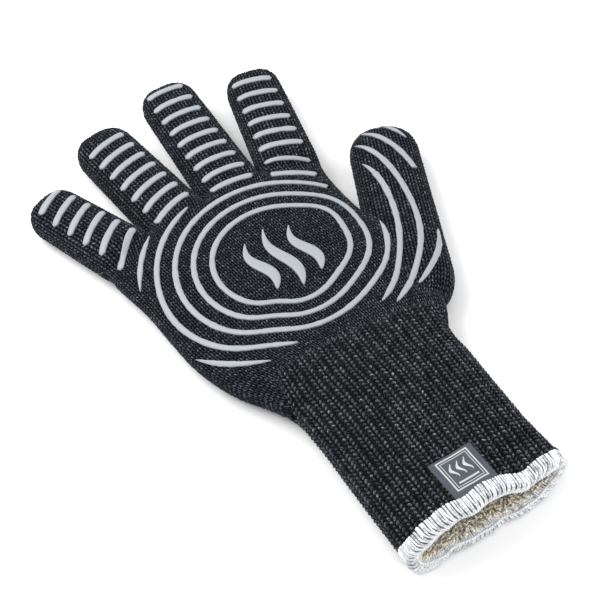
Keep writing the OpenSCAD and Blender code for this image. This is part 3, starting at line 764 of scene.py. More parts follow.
def cuffSheet(front):
    # rib by rib: a column of stitches stands out, and the sunk column beside it is plain, with painted shade
    local = np.array(cuff["columns"])
    steps = np.concatenate([local + i for i in range(cuff["ribs"])] + [[cuff["ribs"]]])
    place = steps % 1
    start = (1 - cuff["knitShare"]) / 2
    inRib = np.clip((place - start) / cuff["knitShare"], 0, 1)
    raised = (place > start) & (place < 1 - start)
    profile = smoothStep(np.minimum(place, 1 - place), *cuff["slope"])
    n = int(round((cuff["top"] - cuff["end"]) / cuff["course"] * cuff["perCourse"]))
    ys = np.linspace(cuff["end"], cuff["top"], n + 1)
    wristX = bodyRing(cuff["straight"], steps / cuff["ribs"], front)[:, 0]
    rows = []
    for y in ys:
        shares = steps / cuff["ribs"]
        if y > cuff["straight"]:
            # above the wrist the ribs run straight on while the palm widens
            dense = np.linspace(0, 1, 721)
            shares = np.interp(wristX, bodyRing(y, dense, front)[:, 0], dense)
            shares[0], shares[-1] = 0, 1
        ring = bodyRing(y, shares, front)
        tangent = np.gradient(ring, axis=0)
        out = np.stack([-tangent[:, 2], tangent[:, 0] * 0, tangent[:, 0]], axis=1) * (1 if front else -1)
        out /= np.maximum(1e-9, np.linalg.norm(out, axis=1))[:, None]
        strength = float(1 - cuff["flatten"] * smoothStep(y, *cuff["flattenOver"]))
        move = -cuff["ribDepth"] * strength * (1 - profile)
        rows.append(ring + out * move[:, None])
    rows = np.array(rows)
    lift = cuff["chevron"] * np.where(raised, np.abs(2 * inRib - 1), 0.0) * cuff["perCourse"]
    at = np.clip(np.arange(n + 1)[:, None] + lift[None, :] - cuff["chevron"] * cuff["perCourse"] / 2, 0, n)
    at[0, :], at[-1, :] = 0, n
    at[:, 0] = at[:, -1] = np.arange(n + 1)
    rows, hide = tuck(sampleRows(rows, at), front, True)
    # the sunk columns take a wale place near a gap between legs, which keeps their relief low and paints them
    # in shade
    sunk = np.where(place < 0.5, cuff["purl"], 1 - cuff["purl"])
    return np.where(raised, inRib, sunk) + np.floor(steps), rows, ~wholeFaces(hide)


cuffPatch = Patch()
for front in (True, False):
    wale, rows, keep = cuffSheet(front)
    first = cuffWales if front else cuffBackWales
    cuffPatch.add(wale, rows, 0, len(rows) - 1, front, first, keep, cuff["perCourse"])
pieces["cuffKnit"] = knitPiece("cuffKnit", cuffPatch, ribKnit, cuff["depth"])
print("cuff knitted", len(pieces["cuffKnit"].data.polygons))


def buildStrandTree():
    # turns every chain of edges into a round strand, and keeps its run and its turn for the twisted plies
    tree, start, end = newTree("yarnStrands", [("Radius", "Float", 0.0005), ("Sides", "Int", 6),
                                               ("Material", "Material", None)])
    line = tree.nodes.new("GeometryNodeMeshToCurve")
    tree.links.new(start.outputs["Geometry"], line.inputs["Mesh"])
    run = tree.nodes.new("GeometryNodeSplineParameter")
    keep = tree.nodes.new("GeometryNodeStoreNamedAttribute")
    keep.inputs["Name"].default_value = "along"
    tree.links.new(line.outputs[0], keep.inputs["Geometry"])
    tree.links.new(run.outputs["Length"], keep.inputs["Value"])
    circle = tree.nodes.new("GeometryNodeCurvePrimitiveCircle")
    tree.links.new(start.outputs["Radius"], circle.inputs["Radius"])
    tree.links.new(start.outputs["Sides"], circle.inputs["Resolution"])
    turnRun = tree.nodes.new("GeometryNodeSplineParameter")
    keepTurn = tree.nodes.new("GeometryNodeStoreNamedAttribute")
    keepTurn.inputs["Name"].default_value = "around"
    tree.links.new(circle.outputs["Curve"], keepTurn.inputs["Geometry"])
    tree.links.new(turnRun.outputs["Factor"], keepTurn.inputs["Value"])
    sweep = tree.nodes.new("GeometryNodeCurveToMesh")
    tree.links.new(keep.outputs[0], sweep.inputs["Curve"])
    tree.links.new(keepTurn.outputs[0], sweep.inputs["Profile Curve"])
    tree.links.new(namedFloat(tree, "thick"), sweep.inputs["Scale"])
    sweep.inputs["Fill Caps"].default_value = True
    return finishTree(tree, start, end, sweep.outputs[0])


strandTree = buildStrandTree()


def strandPiece(name, lines, radius, sides, material, closed=False, thick=None, tones=None):
    edges, tone, count = [], [], 0
    for i, line in enumerate(lines):
        n = len(line)
        edges += [(count + k, count + k + 1) for k in range(n - 1)]
        if closed:
            edges.append((count + n - 1, count))
        tone.append(np.full(n, tones[i] if tones is not None else rng.random()))
        count += n
    me = bpy.data.meshes.new(name)
    me.from_pydata((np.concatenate(lines) * mm).tolist(), edges, [])
    for key, data in (("tone", np.concatenate(tone)),
                      ("thick", np.concatenate(thick) if thick is not None else np.ones(count))):
        me.attributes.new(key, "FLOAT", "POINT").data.foreach_set("value", np.asarray(data, np.float32))
    ob = addObject(name, me)
    runTree(ob, strandTree, Radius=radius * mm, Sides=sides, Material=material)
    ob.data.polygons.foreach_set("use_smooth", [True] * len(ob.data.polygons))
    return ob


def strandMaterial(name, tones, ply=1.5):
    # each strand takes its tone from a row of colours, and its plies twist round it
    mat, tree, bsdf = principled(name)
    ramp = tree.nodes.new("ShaderNodeValToRGB")
    while len(ramp.color_ramp.elements) < len(tones):
        ramp.color_ramp.elements.new(0.5)
    for i, colour in enumerate(tones):
        ramp.color_ramp.elements[i].position = i / (len(tones) - 1)
        ramp.color_ramp.elements[i].color = colour + (1,)
    patches = mathNode(tree, "MULTIPLY", objectNoise(tree, 420.0), 1.3)
    mixed = mathNode(tree, "ADD", mathNode(tree, "MULTIPLY", attributeValue(tree, "tone"), 0.62),
                     mathNode(tree, "SUBTRACT", patches, 0.46))
    tree.links.new(mixed, ramp.inputs["Fac"])
    run = mathNode(tree, "MULTIPLY", attributeValue(tree, "along"), 1 / (ply * mm))
    twist = humps(tree, mathNode(tree, "ADD", run, attributeValue(tree, "around")), math.pi)
    shade = mathNode(tree, "ADD", 0.72, mathNode(tree, "MULTIPLY", twist, 0.35))
    tree.links.new(scaled(tree, ramp.outputs["Color"], shade), bsdf.inputs["Base Color"])
    bsdf.inputs["Roughness"].default_value = 0.95
    bsdf.inputs["Sheen Weight"].default_value = 0.1
    bsdf.inputs["Specular IOR Level"].default_value = 0.2
    fibres = mathNode(tree, "MULTIPLY", objectNoise(tree, 4200.0), 0.6)
    addBump(tree, bsdf, mathNode(tree, "ADD", twist, fibres), 0.6, 0.0003)
    return mat


whiteMelange = strandMaterial("whiteMelangeYarn", [(0.20, 0.21, 0.24), (0.46, 0.48, 0.51), (0.73, 0.75, 0.77),
                                                   (0.85, 0.87, 0.89), (0.93, 0.94, 0.95)])
creamTerry = strandMaterial("creamTerryYarn", [(0.36, 0.32, 0.26), (0.66, 0.61, 0.53), (0.88, 0.83, 0.72),
                                               (0.97, 0.92, 0.72), (0.98, 0.96, 0.90)], ply=1.2)

rng = np.random.default_rng(7)
# the binding: a felt band with lifted wraps of yarn, and one thicker strand along its edge
rim = {"y": -179.2, "outside": 0.9, "inside": 4.2, "cover": 7.4, "lining": 4.6, "sides": 7, "pitch": 1.24,
       "wave": 0.55, "bandLift": -0.35, "bandPoints": 240}
wrap = {"strand": 0.56, "lift": 0.12, "points": 8, "lean": 1.5, "spread": 1.6, "pinch": 0.25, "pinchAt": 0.45,
        "pinchWidth": 0.09, "tone": 0.66, "toneSpread": 0.25, "outerDive": 0.7, "innerDive": 0.5}
edging = {"strand": 0.62, "lift": 0.55, "row": 5, "sway": 0.25, "swell": 0.28, "tone": 0.85}
liner = {"sink": 4.4, "deep": -34.0, "loopDeep": -136.0, "loopHeight": 1.8, "loopWidth": 1.6, "strand": 0.55,
         "spacing": 1.9, "close": -160.0, "farSpacing": 1.3,
         "loop": [(-0.35, 0.0), (-0.6, 0.45), (-0.35, 0.9), (0.35, 0.95), (0.6, 0.5), (0.35, 0.0)]}


def mouthPoint(t, y, out):
    # point of the whole mouth loop at share t, lifted out of the wall
    t = t % 1.0
    front = t < 0.5
    share = 2 * t if front else 2 - 2 * t
    return bodyRing(y, [share], front, -out)[0]


def mouthLoop(count, y, out):
    # one closed row: the front from left to right, then the back from right to left
    half = count // 2
    shares = np.linspace(0, 1, half + 1)
    return np.concatenate([bodyRing(y, shares, True, -out)[:-1], bodyRing(y, shares[::-1], False, -out)[:-1]])


def rimWave(t):
    return rim["wave"] * (np.sin(2 * math.pi * (7 * t + 0.3)) + 0.6 * np.sin(2 * math.pi * (13 * t + 0.1)))


def rimRows(count, lift):
    # rows of the binding from its upper edge outside, over the rim, to its edge inside
    sides = rim["sides"]
    t = np.arange(count) / count
    push = (rim["outside"] + rim["inside"]) / 2
    back = -direction(90 + hand["mouthTurn"])
    rows = []
    for k in np.linspace(0, 1, sides):
        y = rim["y"] + push + (rim["cover"] - push) * (1 - k)
        rows.append(mouthLoop(count, y, rim["outside"] + lift))
    outer = mouthLoop(count, rim["y"] + push, rim["outside"] + lift)
    inner = mouthLoop(count, rim["y"] + push, -rim["inside"] - lift)
    for a in np.linspace(0, math.pi, sides + 2)[1:-1]:
        ring = (outer + inner) / 2 + (outer - inner) / 2 * math.cos(a)
        ring[:, 0] += back[0] * (push + lift) * math.sin(a)
        ring[:, 1] += back[1] * (push + lift) * math.sin(a)
        rows.append(ring)
    for k in np.linspace(0, 1, sides):
        rows.append(mouthLoop(count, rim["y"] + push + (rim["lining"] - push) * k, -rim["inside"] - lift))
    rows = np.array(rows)
    rows[:, :, 1] += rimWave(t)[None, :]
    return rows


def loopMesh(name, rows, material, flip=False):
    n, m = rows.shape[:2]
    i, j = np.meshgrid(np.arange(n - 1), np.arange(m), indexing="ij")
    k = (j + 1) % m
    quads = np.stack([i * m + j, i * m + k, (i + 1) * m + k, (i + 1) * m + j], axis=-1).reshape(-1, 4)
    ob = meshFrom(name, rows.reshape(-1, 3) * mm, (quads[:, ::-1] if flip else quads).tolist())
    ob.data.materials.append(material)
    return ob


def feltMaterial(name, dark, light, scale):
    # plain thread base between strands
    mat, tree, bsdf = principled(name)
    noise = objectNoise(tree, scale, 4.0)
    tree.links.new(mixColour(tree, noise, dark + (1,), light + (1,)), bsdf.inputs["Base Color"])
    bsdf.inputs["Roughness"].default_value = 0.96
    bsdf.inputs["Specular IOR Level"].default_value = 0.15
    addBump(tree, bsdf, noise, 0.5, 0.0005)
    return mat


bandFelt = feltMaterial("bindingBase", (0.05, 0.055, 0.065), (0.28, 0.30, 0.33), 1500.0)
linerFelt = feltMaterial("linerBase", (0.34, 0.30, 0.25), (0.85, 0.80, 0.70), 700.0)


def lengthOf(line):
    return np.sum(np.linalg.norm(np.diff(line, axis=0), axis=1))


band = rimRows(rim["bandPoints"], rim["bandLift"])
pieces["bindingBand"] = loopMesh("bindingBand", band, bandFelt, True)
wrapCount = 2 * int(round(lengthOf(mouthLoop(rim["bandPoints"], rim["y"], 0)) / rim["pitch"] / 2))
around = wrapCount * wrap["points"]
fine = rimRows(around, wrap["lift"])
wraps, wrapThick = [], []
total = len(fine)
for w in range(wrapCount):
    lean = rng.normal(0, wrap["lean"])
    far = wrap["spread"] if w % 2 else -wrap["spread"]
    line, size = [], []
    for r in range(total):
        q = r / (total - 1)
        pinch = math.exp(-((q - wrap["pinchAt"]) / wrap["pinchWidth"]) ** 2)
        column = (w * wrap["points"] + lean * (0.5 - q) * 2 + far * pinch) % around
        a = int(column)
        line.append(mix(fine[r, a], fine[r, (a + 1) % around], column - a))
        size.append(1.0 + 0.12 * math.sin(q * 9 + w) - wrap["pinch"] * pinch)
    line = np.array(line)
    # the ends dive into the cloth, at uneven lengths
    start = rng.uniform(-0.5, 0.7)
    line[0] = mix(line[1], line[0], 1.0 + start * 0.5)
    inward = np.array([0, 0, -1.0 if w < wrapCount / 2 else 1.0])
    line[0] += inward * wrap["outerDive"]
    line[-1] -= inward * wrap["innerDive"]
    wraps.append(line)
    wrapThick.append(np.array(size))
wrapTones = np.clip(wrap["tone"] + rng.normal(0, wrap["toneSpread"], wrapCount), 0, 1)
pieces["bindingWraps"] = strandPiece("bindingWraps", wraps, wrap["strand"], 6, whiteMelange, thick=wrapThick,
                                     tones=wrapTones)
edgeRow = rimRows(wrapCount * 2, edging["lift"])[rim["sides"] + edging["row"]]
beat = np.arange(len(edgeRow)) * math.pi
edgeRow[:, 1] += edging["sway"] * np.sin(beat)
pieces["bindingEdge"] = strandPiece("bindingEdge", [edgeRow], edging["strand"], 7, whiteMelange, closed=True,
                                    thick=[1.0 + edging["swell"] * np.cos(beat)], tones=[edging["tone"]])
print("binding wrapped", wrapCount)

# the lining: a plain tube with a blind end, and loops of terry on it near the mouth
deepRows = []
for y in np.linspace(rim["y"] + 4.0, liner["deep"], 60):
    deepRows.append(mouthLoop(120, y, -liner["sink"]))
last = deepRows[-1]
middlePoint = last.mean(axis=0)
for k in (0.75, 0.5, 0.25, 0.05):
    deepRows.append(middlePoint + (last - middlePoint) * k + np.array([0, 8.0 * (1 - k), 0]))
pieces["linerTube"] = loopMesh("linerTube", np.array(deepRows), linerFelt)
loops = []
y = rim["y"] + rim["lining"] - 1.2
while y < liner["loopDeep"]:
    count = int(lengthOf(mouthLoop(360, y, -liner["sink"])) / liner["spacing"])
    for i in range(count):
        t = (i + rng.uniform(-0.35, 0.35)) / count
        yy = y + rng.uniform(-0.7, 0.7)
        p = mouthPoint(t, yy, -liner["sink"] + 0.2)
        q = mouthPoint(t, yy, -liner["sink"] - 1.0)
        into = (q - p) / max(1e-6, np.linalg.norm(q - p))
        turn = rng.uniform(0, math.pi)
        flat = np.cross(into, [0, 1.0, 0])
        flat /= max(1e-6, np.linalg.norm(flat))
        wide = flat * math.cos(turn) + np.array([0, 1.0, 0]) * math.sin(turn)
        h = liner["loopHeight"] * rng.uniform(0.7, 1.2)
        w = liner["loopWidth"] * rng.uniform(0.7, 1.2)
        lean = flat * rng.normal(0, 0.5) + np.array([0, rng.normal(0, 0.5), 0])
        loops.append(np.array([p + wide * w * a + into * h * b + lean * b * b for a, b in liner["loop"]]))
    y += liner["spacing"] * (1.0 if y < liner["close"] else liner["farSpacing"])
pieces["linerLoops"] = strandPiece("linerLoops", loops, liner["strand"], 5, creamTerry)
print("liner looped", len(loops))

label = {"width": 22.5, "length": 23.5, "x": -1.0, "above": 7.45, "under": 3.0, "thick": 0.55, "lift": 1.15,
         "sag": 0.3, "columns": 44, "rows": 56}
# the woven mark, in millimetres: two frames, a row of waves and a bar
mark = {"middle": 10.4, "halfWidth": 7.9, "halfLength": 8.6, "line": 0.34, "innerGap": 1.25,
        "innerLine": 0.16, "waveLength": 8.0, "bend": 0.9, "lane": 3.6, "waveHeight": 1.4,
        "waveHalf": 4.2, "slim": 4.6, "fullness": 0.19, "halfRow": 5.2, "barHeight": 5.6, "barHalf": 0.45,
        "weft": 0.42, "warp": 0.36}


def cuffTop(x, y):
    # height of the ribs' tops on the front at a point
    ring = bodyRing(y, np.linspace(0, 1, 181), True)
    order = np.argsort(ring[:, 0])
    return float(np.interp(x, ring[order, 0], ring[order, 2]))


def labelMaterial():
    mat, tree, bsdf = principled("slateWoven")
    uv = tree.nodes.new("ShaderNodeUVMap")
    uv.uv_map = "labelMap"
    split = tree.nodes.new("ShaderNodeSeparateXYZ")
    tree.links.new(uv.outputs[0], split.inputs[0])
    x = mathNode(tree, "MULTIPLY", mathNode(tree, "SUBTRACT", split.outputs[0], 0.5), label["width"])
    y = mathNode(tree, "SUBTRACT", mathNode(tree, "MULTIPLY", split.outputs[1], label["length"]),
                 label["under"] + mark["middle"])

    def below(value, edge, soft=0.12):
        # one inside the edge, falling to nothing just past it
        node = tree.nodes.new("ShaderNodeMapRange")
        node.interpolation_type = "SMOOTHSTEP"
        node.inputs["From Min"].default_value = edge + soft
        node.inputs["From Max"].default_value = edge - soft
        tree.links.new(value, node.inputs["Value"])
        return node.outputs[0]

    def both(a, b):
        return mathNode(tree, "MULTIPLY", a, b)

    def size(v):
        return mathNode(tree, "ABSOLUTE", v)

    frames = mathNode(tree, "MAXIMUM", mathNode(tree, "SUBTRACT", size(x), mark["halfWidth"]),
                      mathNode(tree, "SUBTRACT", size(y), mark["halfLength"]))
    outer = below(size(frames), mark["line"])
    inner = below(size(mathNode(tree, "ADD", frames, mark["innerGap"])), mark["innerLine"])
    turn = mathNode(tree, "MULTIPLY", y, 2 * math.pi / mark["waveLength"])
    wave = mathNode(tree, "ADD", x, mathNode(tree, "MULTIPLY", mathNode(tree, "SINE", turn), mark["bend"]))
    # seven lanes are added first, because the remainder of a negative number is negative
    inLane = mathNode(tree, "MODULO", mathNode(tree, "ADD", wave, 7 * mark["lane"]), mark["lane"])
    lane = size(mathNode(tree, "SUBTRACT", inLane, mark["lane"] / 2))
    up = size(mathNode(tree, "SUBTRACT", y, mark["waveHeight"]))
    width = mathNode(tree, "MULTIPLY", mathNode(tree, "SUBTRACT", mark["slim"], up), mark["fullness"])
    fromMiddle = mathNode(tree, "SUBTRACT", mark["lane"] / 2, lane)
    waves = both(below(mathNode(tree, "SUBTRACT", fromMiddle, width), 0.0),
                 below(size(wave), mark["halfRow"]))
    waves = both(waves, below(up, mark["waveHalf"]))
    bar = both(below(size(mathNode(tree, "ADD", y, mark["barHeight"])), mark["barHalf"]),
               below(size(x), mark["halfRow"]))
    total = outer
    for part in (inner, waves, bar):
        total = mathNode(tree, "MAXIMUM", total, part)
    weftTurn = label["length"] * 2 * math.pi / mark["weft"]
    warpTurn = label["width"] * 2 * math.pi / mark["warp"]
    weft = mathNode(tree, "SINE", mathNode(tree, "MULTIPLY", split.outputs[1], weftTurn))
    warp = mathNode(tree, "SINE", mathNode(tree, "MULTIPLY", split.outputs[0], warpTurn))
    weave = mathNode(tree, "MULTIPLY", weft, warp)
    ground = mixColour(tree, objectNoise(tree, 220.0), (0.040, 0.052, 0.066, 1), (0.085, 0.10, 0.118, 1))
    colour = mixColour(tree, total, ground, (0.58, 0.60, 0.62, 1))
    shade = mathNode(tree, "ADD", 0.93, mathNode(tree, "MULTIPLY", weave, 0.14))
    tree.links.new(scaled(tree, colour, shade), bsdf.inputs["Base Color"])
    bsdf.inputs["Roughness"].default_value = 0.62
    bsdf.inputs["Specular IOR Level"].default_value = 0.35
    addBump(tree, bsdf, mathNode(tree, "ADD", weave, mathNode(tree, "MULTIPLY", total, 1.2)), 0.35, 0.0003)
    return mat


def makeLabel():
    columns, rows = label["columns"], label["rows"]
    along, wide = direction(90 + hand["mouthTurn"]), across(90 + hand["mouthTurn"])
    centre = (readTable(leftEdge, hand["mouthY"]) + readTable(rightEdge, hand["mouthY"])) / 2 + label["x"]
    base = np.array([float(centre), hand["mouthY"] + label["above"] - label["under"]])
    points, uvs = [], []
    for i in range(rows + 1):
        v = i / rows
        for j in range(columns + 1):
            u = j / columns
            p = base + wide * (u - 0.5) * label["width"] + along * v * label["length"]
            z = cuffTop(p[0], p[1]) + label["lift"]
            z += label["sag"] * math.sin(u * 9.0) * 0.5 - label["sag"] * 0.4 * math.sin(v * 7 + u * 3)
            z += 0.9 * max(0.0, v - 0.86) ** 2 * 30 * (abs(u - 0.5) * 2) ** 4
            points.append((p[0], p[1], z - 0.5 * max(0.0, 1 - v * label["length"] / label["under"])))
            uvs.append((u, v))
    n = columns + 1
    faces = [(i * n + j, i * n + j + 1, (i + 1) * n + j + 1, (i + 1) * n + j)
             for i in range(rows) for j in range(columns)]
    me = bpy.data.meshes.new("cuffLabel")
    me.from_pydata((np.array(points) * mm).tolist(), [], faces)
    layer = me.uv_layers.new(name="labelMap")
    for loop in me.loops:
        layer.data[loop.index].uv = uvs[loop.vertex_index]
    me.polygons.foreach_set("use_smooth", [True] * len(me.polygons))
    ob = addObject("cuffLabel", me)
    me.materials.append(labelMaterial())
    wall = ob.modifiers.new("cloth", "SOLIDIFY")
    wall.thickness = label["thick"] * mm
    wall.offset = -1
    return ob


pieces["cuffLabel"] = makeLabel()
print("label laid")

# rings round the palm's centre, and bars and arcs on further rings across the fingers and the thumb
grip = {"radius": 33.4, "step": 9.2, "barStep": 10.2, "centre": (0.0, -0.5), "width": 2.9, "barWidth": 3.5,
        "lensWidth": 3.5, "height": 0.8, "lift": 0.55, "backLift": 0.12, "share": 0.78, "backShare": 0.7,
        "barStart": 0.86, "barEnd": 1.02, "barTip": 3.0, "shortest": 3.0, "edgeHeight": 16.0, "pace": 0.9,
        "wobble": 0.07, "smooth": 3, "thinnest": 0.12, "steepShare": 0.68, "levelReach": 4,
        "leastLevel": 0.55}
taperLengths = {"round": 0.3 * grip["width"], "point": 11.0, "lens": 26.0}
beadProfile = [(-1.0, -0.55), (-1.0, 0.3), (-0.93, 0.68), (-0.7, 0.92), (0, 1.0), (0.7, 0.92), (0.93, 0.68),
               (1.0, 0.3), (1.0, -0.55)]
emblem = {"waves": (-1, 0, 1), "spacing": 12, "length": 44, "outerLength": 0.8, "bend": 2.8, "width": 3.0,
          "points": 50}
# level, first and last bearing of each arc, counted outwards from the innermost ring
arcs = [(3, 35.5, 358), (4, 112, 250), (4.9, 132.5, 159.5), (4.7, 205, 238), (4, -64, 31), (5, -61, 38),
        (5.55, -46, -15), (6, 13.5, 38), (6.8, 25.5, 34.5)]
lensArc = (4.7, 205)  # the short arc under the rings, thick in its middle
# how the rings are drawn out and in: everywhere, across, along, and as (size, bearing, width) of single bumps
palmDrift = {"even": 0.6, "across": 0.5, "along": 2.2, "least": 0.3, "loss": 0.6, "bearings": (100, 265),
             "bumps": [(3.6, 30, 18), (-2.6, 238, 16), (-3.2, 308, 28)]}
# above each level, the share, bearing and width of an arc's bump towards the thumb's tip and of the one below
thumbBumps = [(5, (0.18, 37, 26), (-0.155, -60, 26)), (4, (0.25, 45, 30), (-0.1, -50, 40)),
              (3, (0.31, 45, 32), (-0.08, -35, 35))]
# each finger's lowest and highest bar, their shift along it at its root and at its end, and their arch
barLevels = {"little": (6, 11, 0.0, 0.0, 1.0), "ring": (5, 11, 0.8, 0.3, 1.0),
             "middle": (4, 12, 2.8, 5.5, 1.0), "index": (4, 11, 1.9, 5.4, 0.62)}


def ringRadius(level):
    if level <= 4:
        return grip["radius"] + (level - 1) * grip["step"]
    return grip["radius"] + 3 * grip["step"] + (level - 4) * grip["barStep"]


def bell(a, centre, width):
    # a soft bump round one bearing
    return math.exp(-(((a - centre + 180) % 360 - 180) / width) ** 2)


def arcRadius(level, a):
    start, end = palmDrift["bearings"]
    if level < 4 or start < a % 360 < end:
        # the palm is drawn out towards the crotch of the thumb, and pulled flat over the wrist
        t = math.radians(a)
        drift = palmDrift["even"] + palmDrift["across"] * math.cos(t) + palmDrift["along"] * math.sin(t)
        for size, centre, width in palmDrift["bumps"]:
            drift += size * bell(a, centre, width)
        return ringRadius(level) + drift * max(palmDrift["least"], 1 - palmDrift["loss"] * max(0, level - 4))
    upper, lower = next(bumps for above, *bumps in thumbBumps if level > above)
    return ringRadius(level) * (1 + upper[0] * bell(a, *upper[1:]) + lower[0] * bell(a, *lower[1:]))


def makeFaceTree():
    points, faces, count = [], [], 0
    for rows in topRows:
        n, m = rows.shape[:2]
        i, j = np.meshgrid(np.arange(n - 1), np.arange(m - 1), indexing="ij")
        a = i * m + j + count
        points.append(rows.reshape(-1, 3))
        faces.append(np.stack([a, a + 1, a + m + 1, a + m], axis=-1).reshape(-1, 4))
        count += n * m
    return BVHTree.FromPolygons(np.concatenate(points).tolist(), np.concatenate(faces).tolist())


def onFace(x, y, front):
    # the knitted face under or over a point, and its outward direction
    if not front:
        return np.array([x, y, hand["bed"]]), np.array([0, 0, -1.0])
    hit = faceTree.ray_cast(Vector((x, y, 60)), Vector((0, 0, -1)))
    if hit[0] is None:
        return None, None
    n = np.array(hit[1])
    return np.array(hit[0]), n * (1 if n[2] > 0 else -1)


def stripRings(path, widths, front, closed):
    # rings of a rounded bead along a path of (x, y)
    path = np.array(path)
    if closed:
        tangent = np.roll(path, -1, axis=0) - np.roll(path, 1, axis=0)
    else:
        tangent = np.gradient(path, axis=0)
    tangent /= np.linalg.norm(tangent, axis=1)[:, None]
    # a line keeps its width along the cloth where the cloth slopes
    level = []
    for (x, y), (tx, ty) in zip(path, tangent):
        p, n = onFace(x, y, front)
        if p is None:
            return []
        level.append(abs(n[2]) / math.hypot(n[2], n[0] * ty - n[1] * tx))
    reach = grip["levelReach"]
    kernel = np.ones(2 * reach + 1) / (2 * reach + 1)
    level = np.convolve(np.pad(level, reach, mode="edge"), kernel, "valid")
    widths = widths * np.maximum(grip["leastLevel"], level)
    lift = grip["lift"] if front else grip["backLift"]
    rings = []
    for (x, y), (tx, ty), w in zip(path, tangent, widths):
        ring = []
        for v, h in beadProfile:
            p, n = onFace(x + v * w * ty, y - v * w * tx, front)
            if p is None:
                return []
            ring.append(p + n * (h * grip["height"] + lift))
        rings.append(ring)
    return rings


def beadMesh(ringSets):
    points, faces = [], []
    for rings, closed, flip in ringSets:
        if len(rings) < 3:
            continue
        n, m, base = len(rings), len(rings[0]), len(points)
        for r in rings:
            points.extend(r)
        for i in range(n if closed else n - 1):
            k = (i + 1) % n
            for j in range(m):
                after = (j + 1) % m
                quad = [base + i * m + j, base + i * m + after, base + k * m + after, base + k * m + j]
                faces.append(quad[::-1] if flip else quad)
        if not closed:
            firstCap = [base + j for j in range(m)]
            lastCap = [base + (n - 1) * m + j for j in range(m)]
            faces.append(firstCap if flip else firstCap[::-1])
            faces.append(lastCap[::-1] if flip else lastCap)
    return np.array(points) * mm, faces


faceTree = makeFaceTree()
rng = np.random.default_rng(7)


def wobble(n):
    # the uneven edge of a printed line
    smooth = grip["smooth"]
    raw = rng.normal(0, 1, n + 2 * smooth)
    kernel = np.ones(smooth) / smooth
    return np.convolve(raw, kernel, "same")[smooth:smooth + n] * grip["wobble"] * math.sqrt(smooth)


def taper(n, length, freeEnds):
    # narrows a line towards its true ends
    d = np.full(n, 1e3)
    if freeEnds[0]:
        d = np.minimum(d, np.arange(n) * grip["pace"])
    if freeEnds[1]:
        d = np.minimum(d, np.arange(n)[::-1] * grip["pace"])
    return np.sqrt(np.clip(d / length, 0.0, 1)) * 0.98 + 0.02


def arcPath(level, a0, a1, count=None):
    n = count or max(6, int(math.radians(a1 - a0) * ringRadius(level) / grip["pace"]))
    x, y = grip["centre"]
    out = []
    for a in np.linspace(a0, a1, n):
        r = arcRadius(level, a)
        out.append((x + r * math.cos(math.radians(a)), y + r * math.sin(math.radians(a))))
    return out


def pastThumbFold(p, s, turn):
    f = fingers["thumb"]
    c = np.array(f["root"]) + s * direction(f["angle"])
    return float((np.array(p) - c) @ direction(f["angle"] - turn))


def thumbGroup(p):
    f = fingers["thumb"]
    if pastThumbFold(p, f["rootFold"], f["turn"]) < -8:
        return "palmGrip"
    return "thumbLowerGrip" if pastThumbFold(p, foldMiddle("thumb"), 0) < 0 else "thumbUpperGrip"


def barGroup(name, s):
    if s < fingers[name]["zone"][0] - 1.5:
        return "palmGrip"
    return name + ("LowerGrip" if s < foldMiddle(name) else "UpperGrip")


def barPath(name, level, share):
    # a bar across a finger on its ring, and its place along the finger
    f = fingers[name]
    r = ringRadius(level)
    d, h = direction(f["angle"]), across(f["angle"])
    c0 = np.array(f["root"]) - np.array(grip["centre"])

    def reach(v):
        p = c0 + v * h
        b = p @ d
        return math.sqrt(max(0, r * r - p @ p + b * b)) - b

    middle = reach(0)
    rootShift, endShift, arch = barLevels[name][2:]
    s = middle + (rootShift + (endShift - rootShift) * (middle / f["length"]) ** 2)
    half = (f["width"] - hand["slim"] * min(1, max(0, s / f["length"]))) / 2
    tip = (f["width"] - hand["slim"]) / 2
    q = max(0, (s + grip["barTip"] - f["length"] + tip) / tip)
    edge = share * half * max(0, 1 - q ** hand["tipPower"]) ** hand["tipFullness"]
    if edge < grip["shortest"]:
        return None, s
    n = int(2 * edge / grip["pace"]) + 1
    return [tuple(np.array(f["root"]) + (s + arch * (reach(v) - middle)) * d + v * h)
            for v in np.linspace(grip["barStart"] * edge, -grip["barEnd"] * edge, n)], s


gripSets = {}


def addStrip(group, path, front, closed=False, ends="round", width=grip["width"], freeEnds=(True, True)):
    n = len(path)
    w = np.full(n, width / 2)
    if not closed:
        w = w * taper(n, taperLengths[ends], freeEnds)
    w = np.maximum(grip["thinnest"], w + wobble(n))
    rings = stripRings(path, w, front, closed)
    gripSets.setdefault(group, []).append((rings, closed, not front))


def offTheEdge(path):
    # leaves out the ends of a line that lie on the rounded edge of the glove
    heights = [onFace(x, y, True)[0] for x, y in path]
    at = [i for i, p in enumerate(heights) if p is not None and p[2] > grip["edgeHeight"]]
    return path[at[0]:at[-1] + 1] if at else []


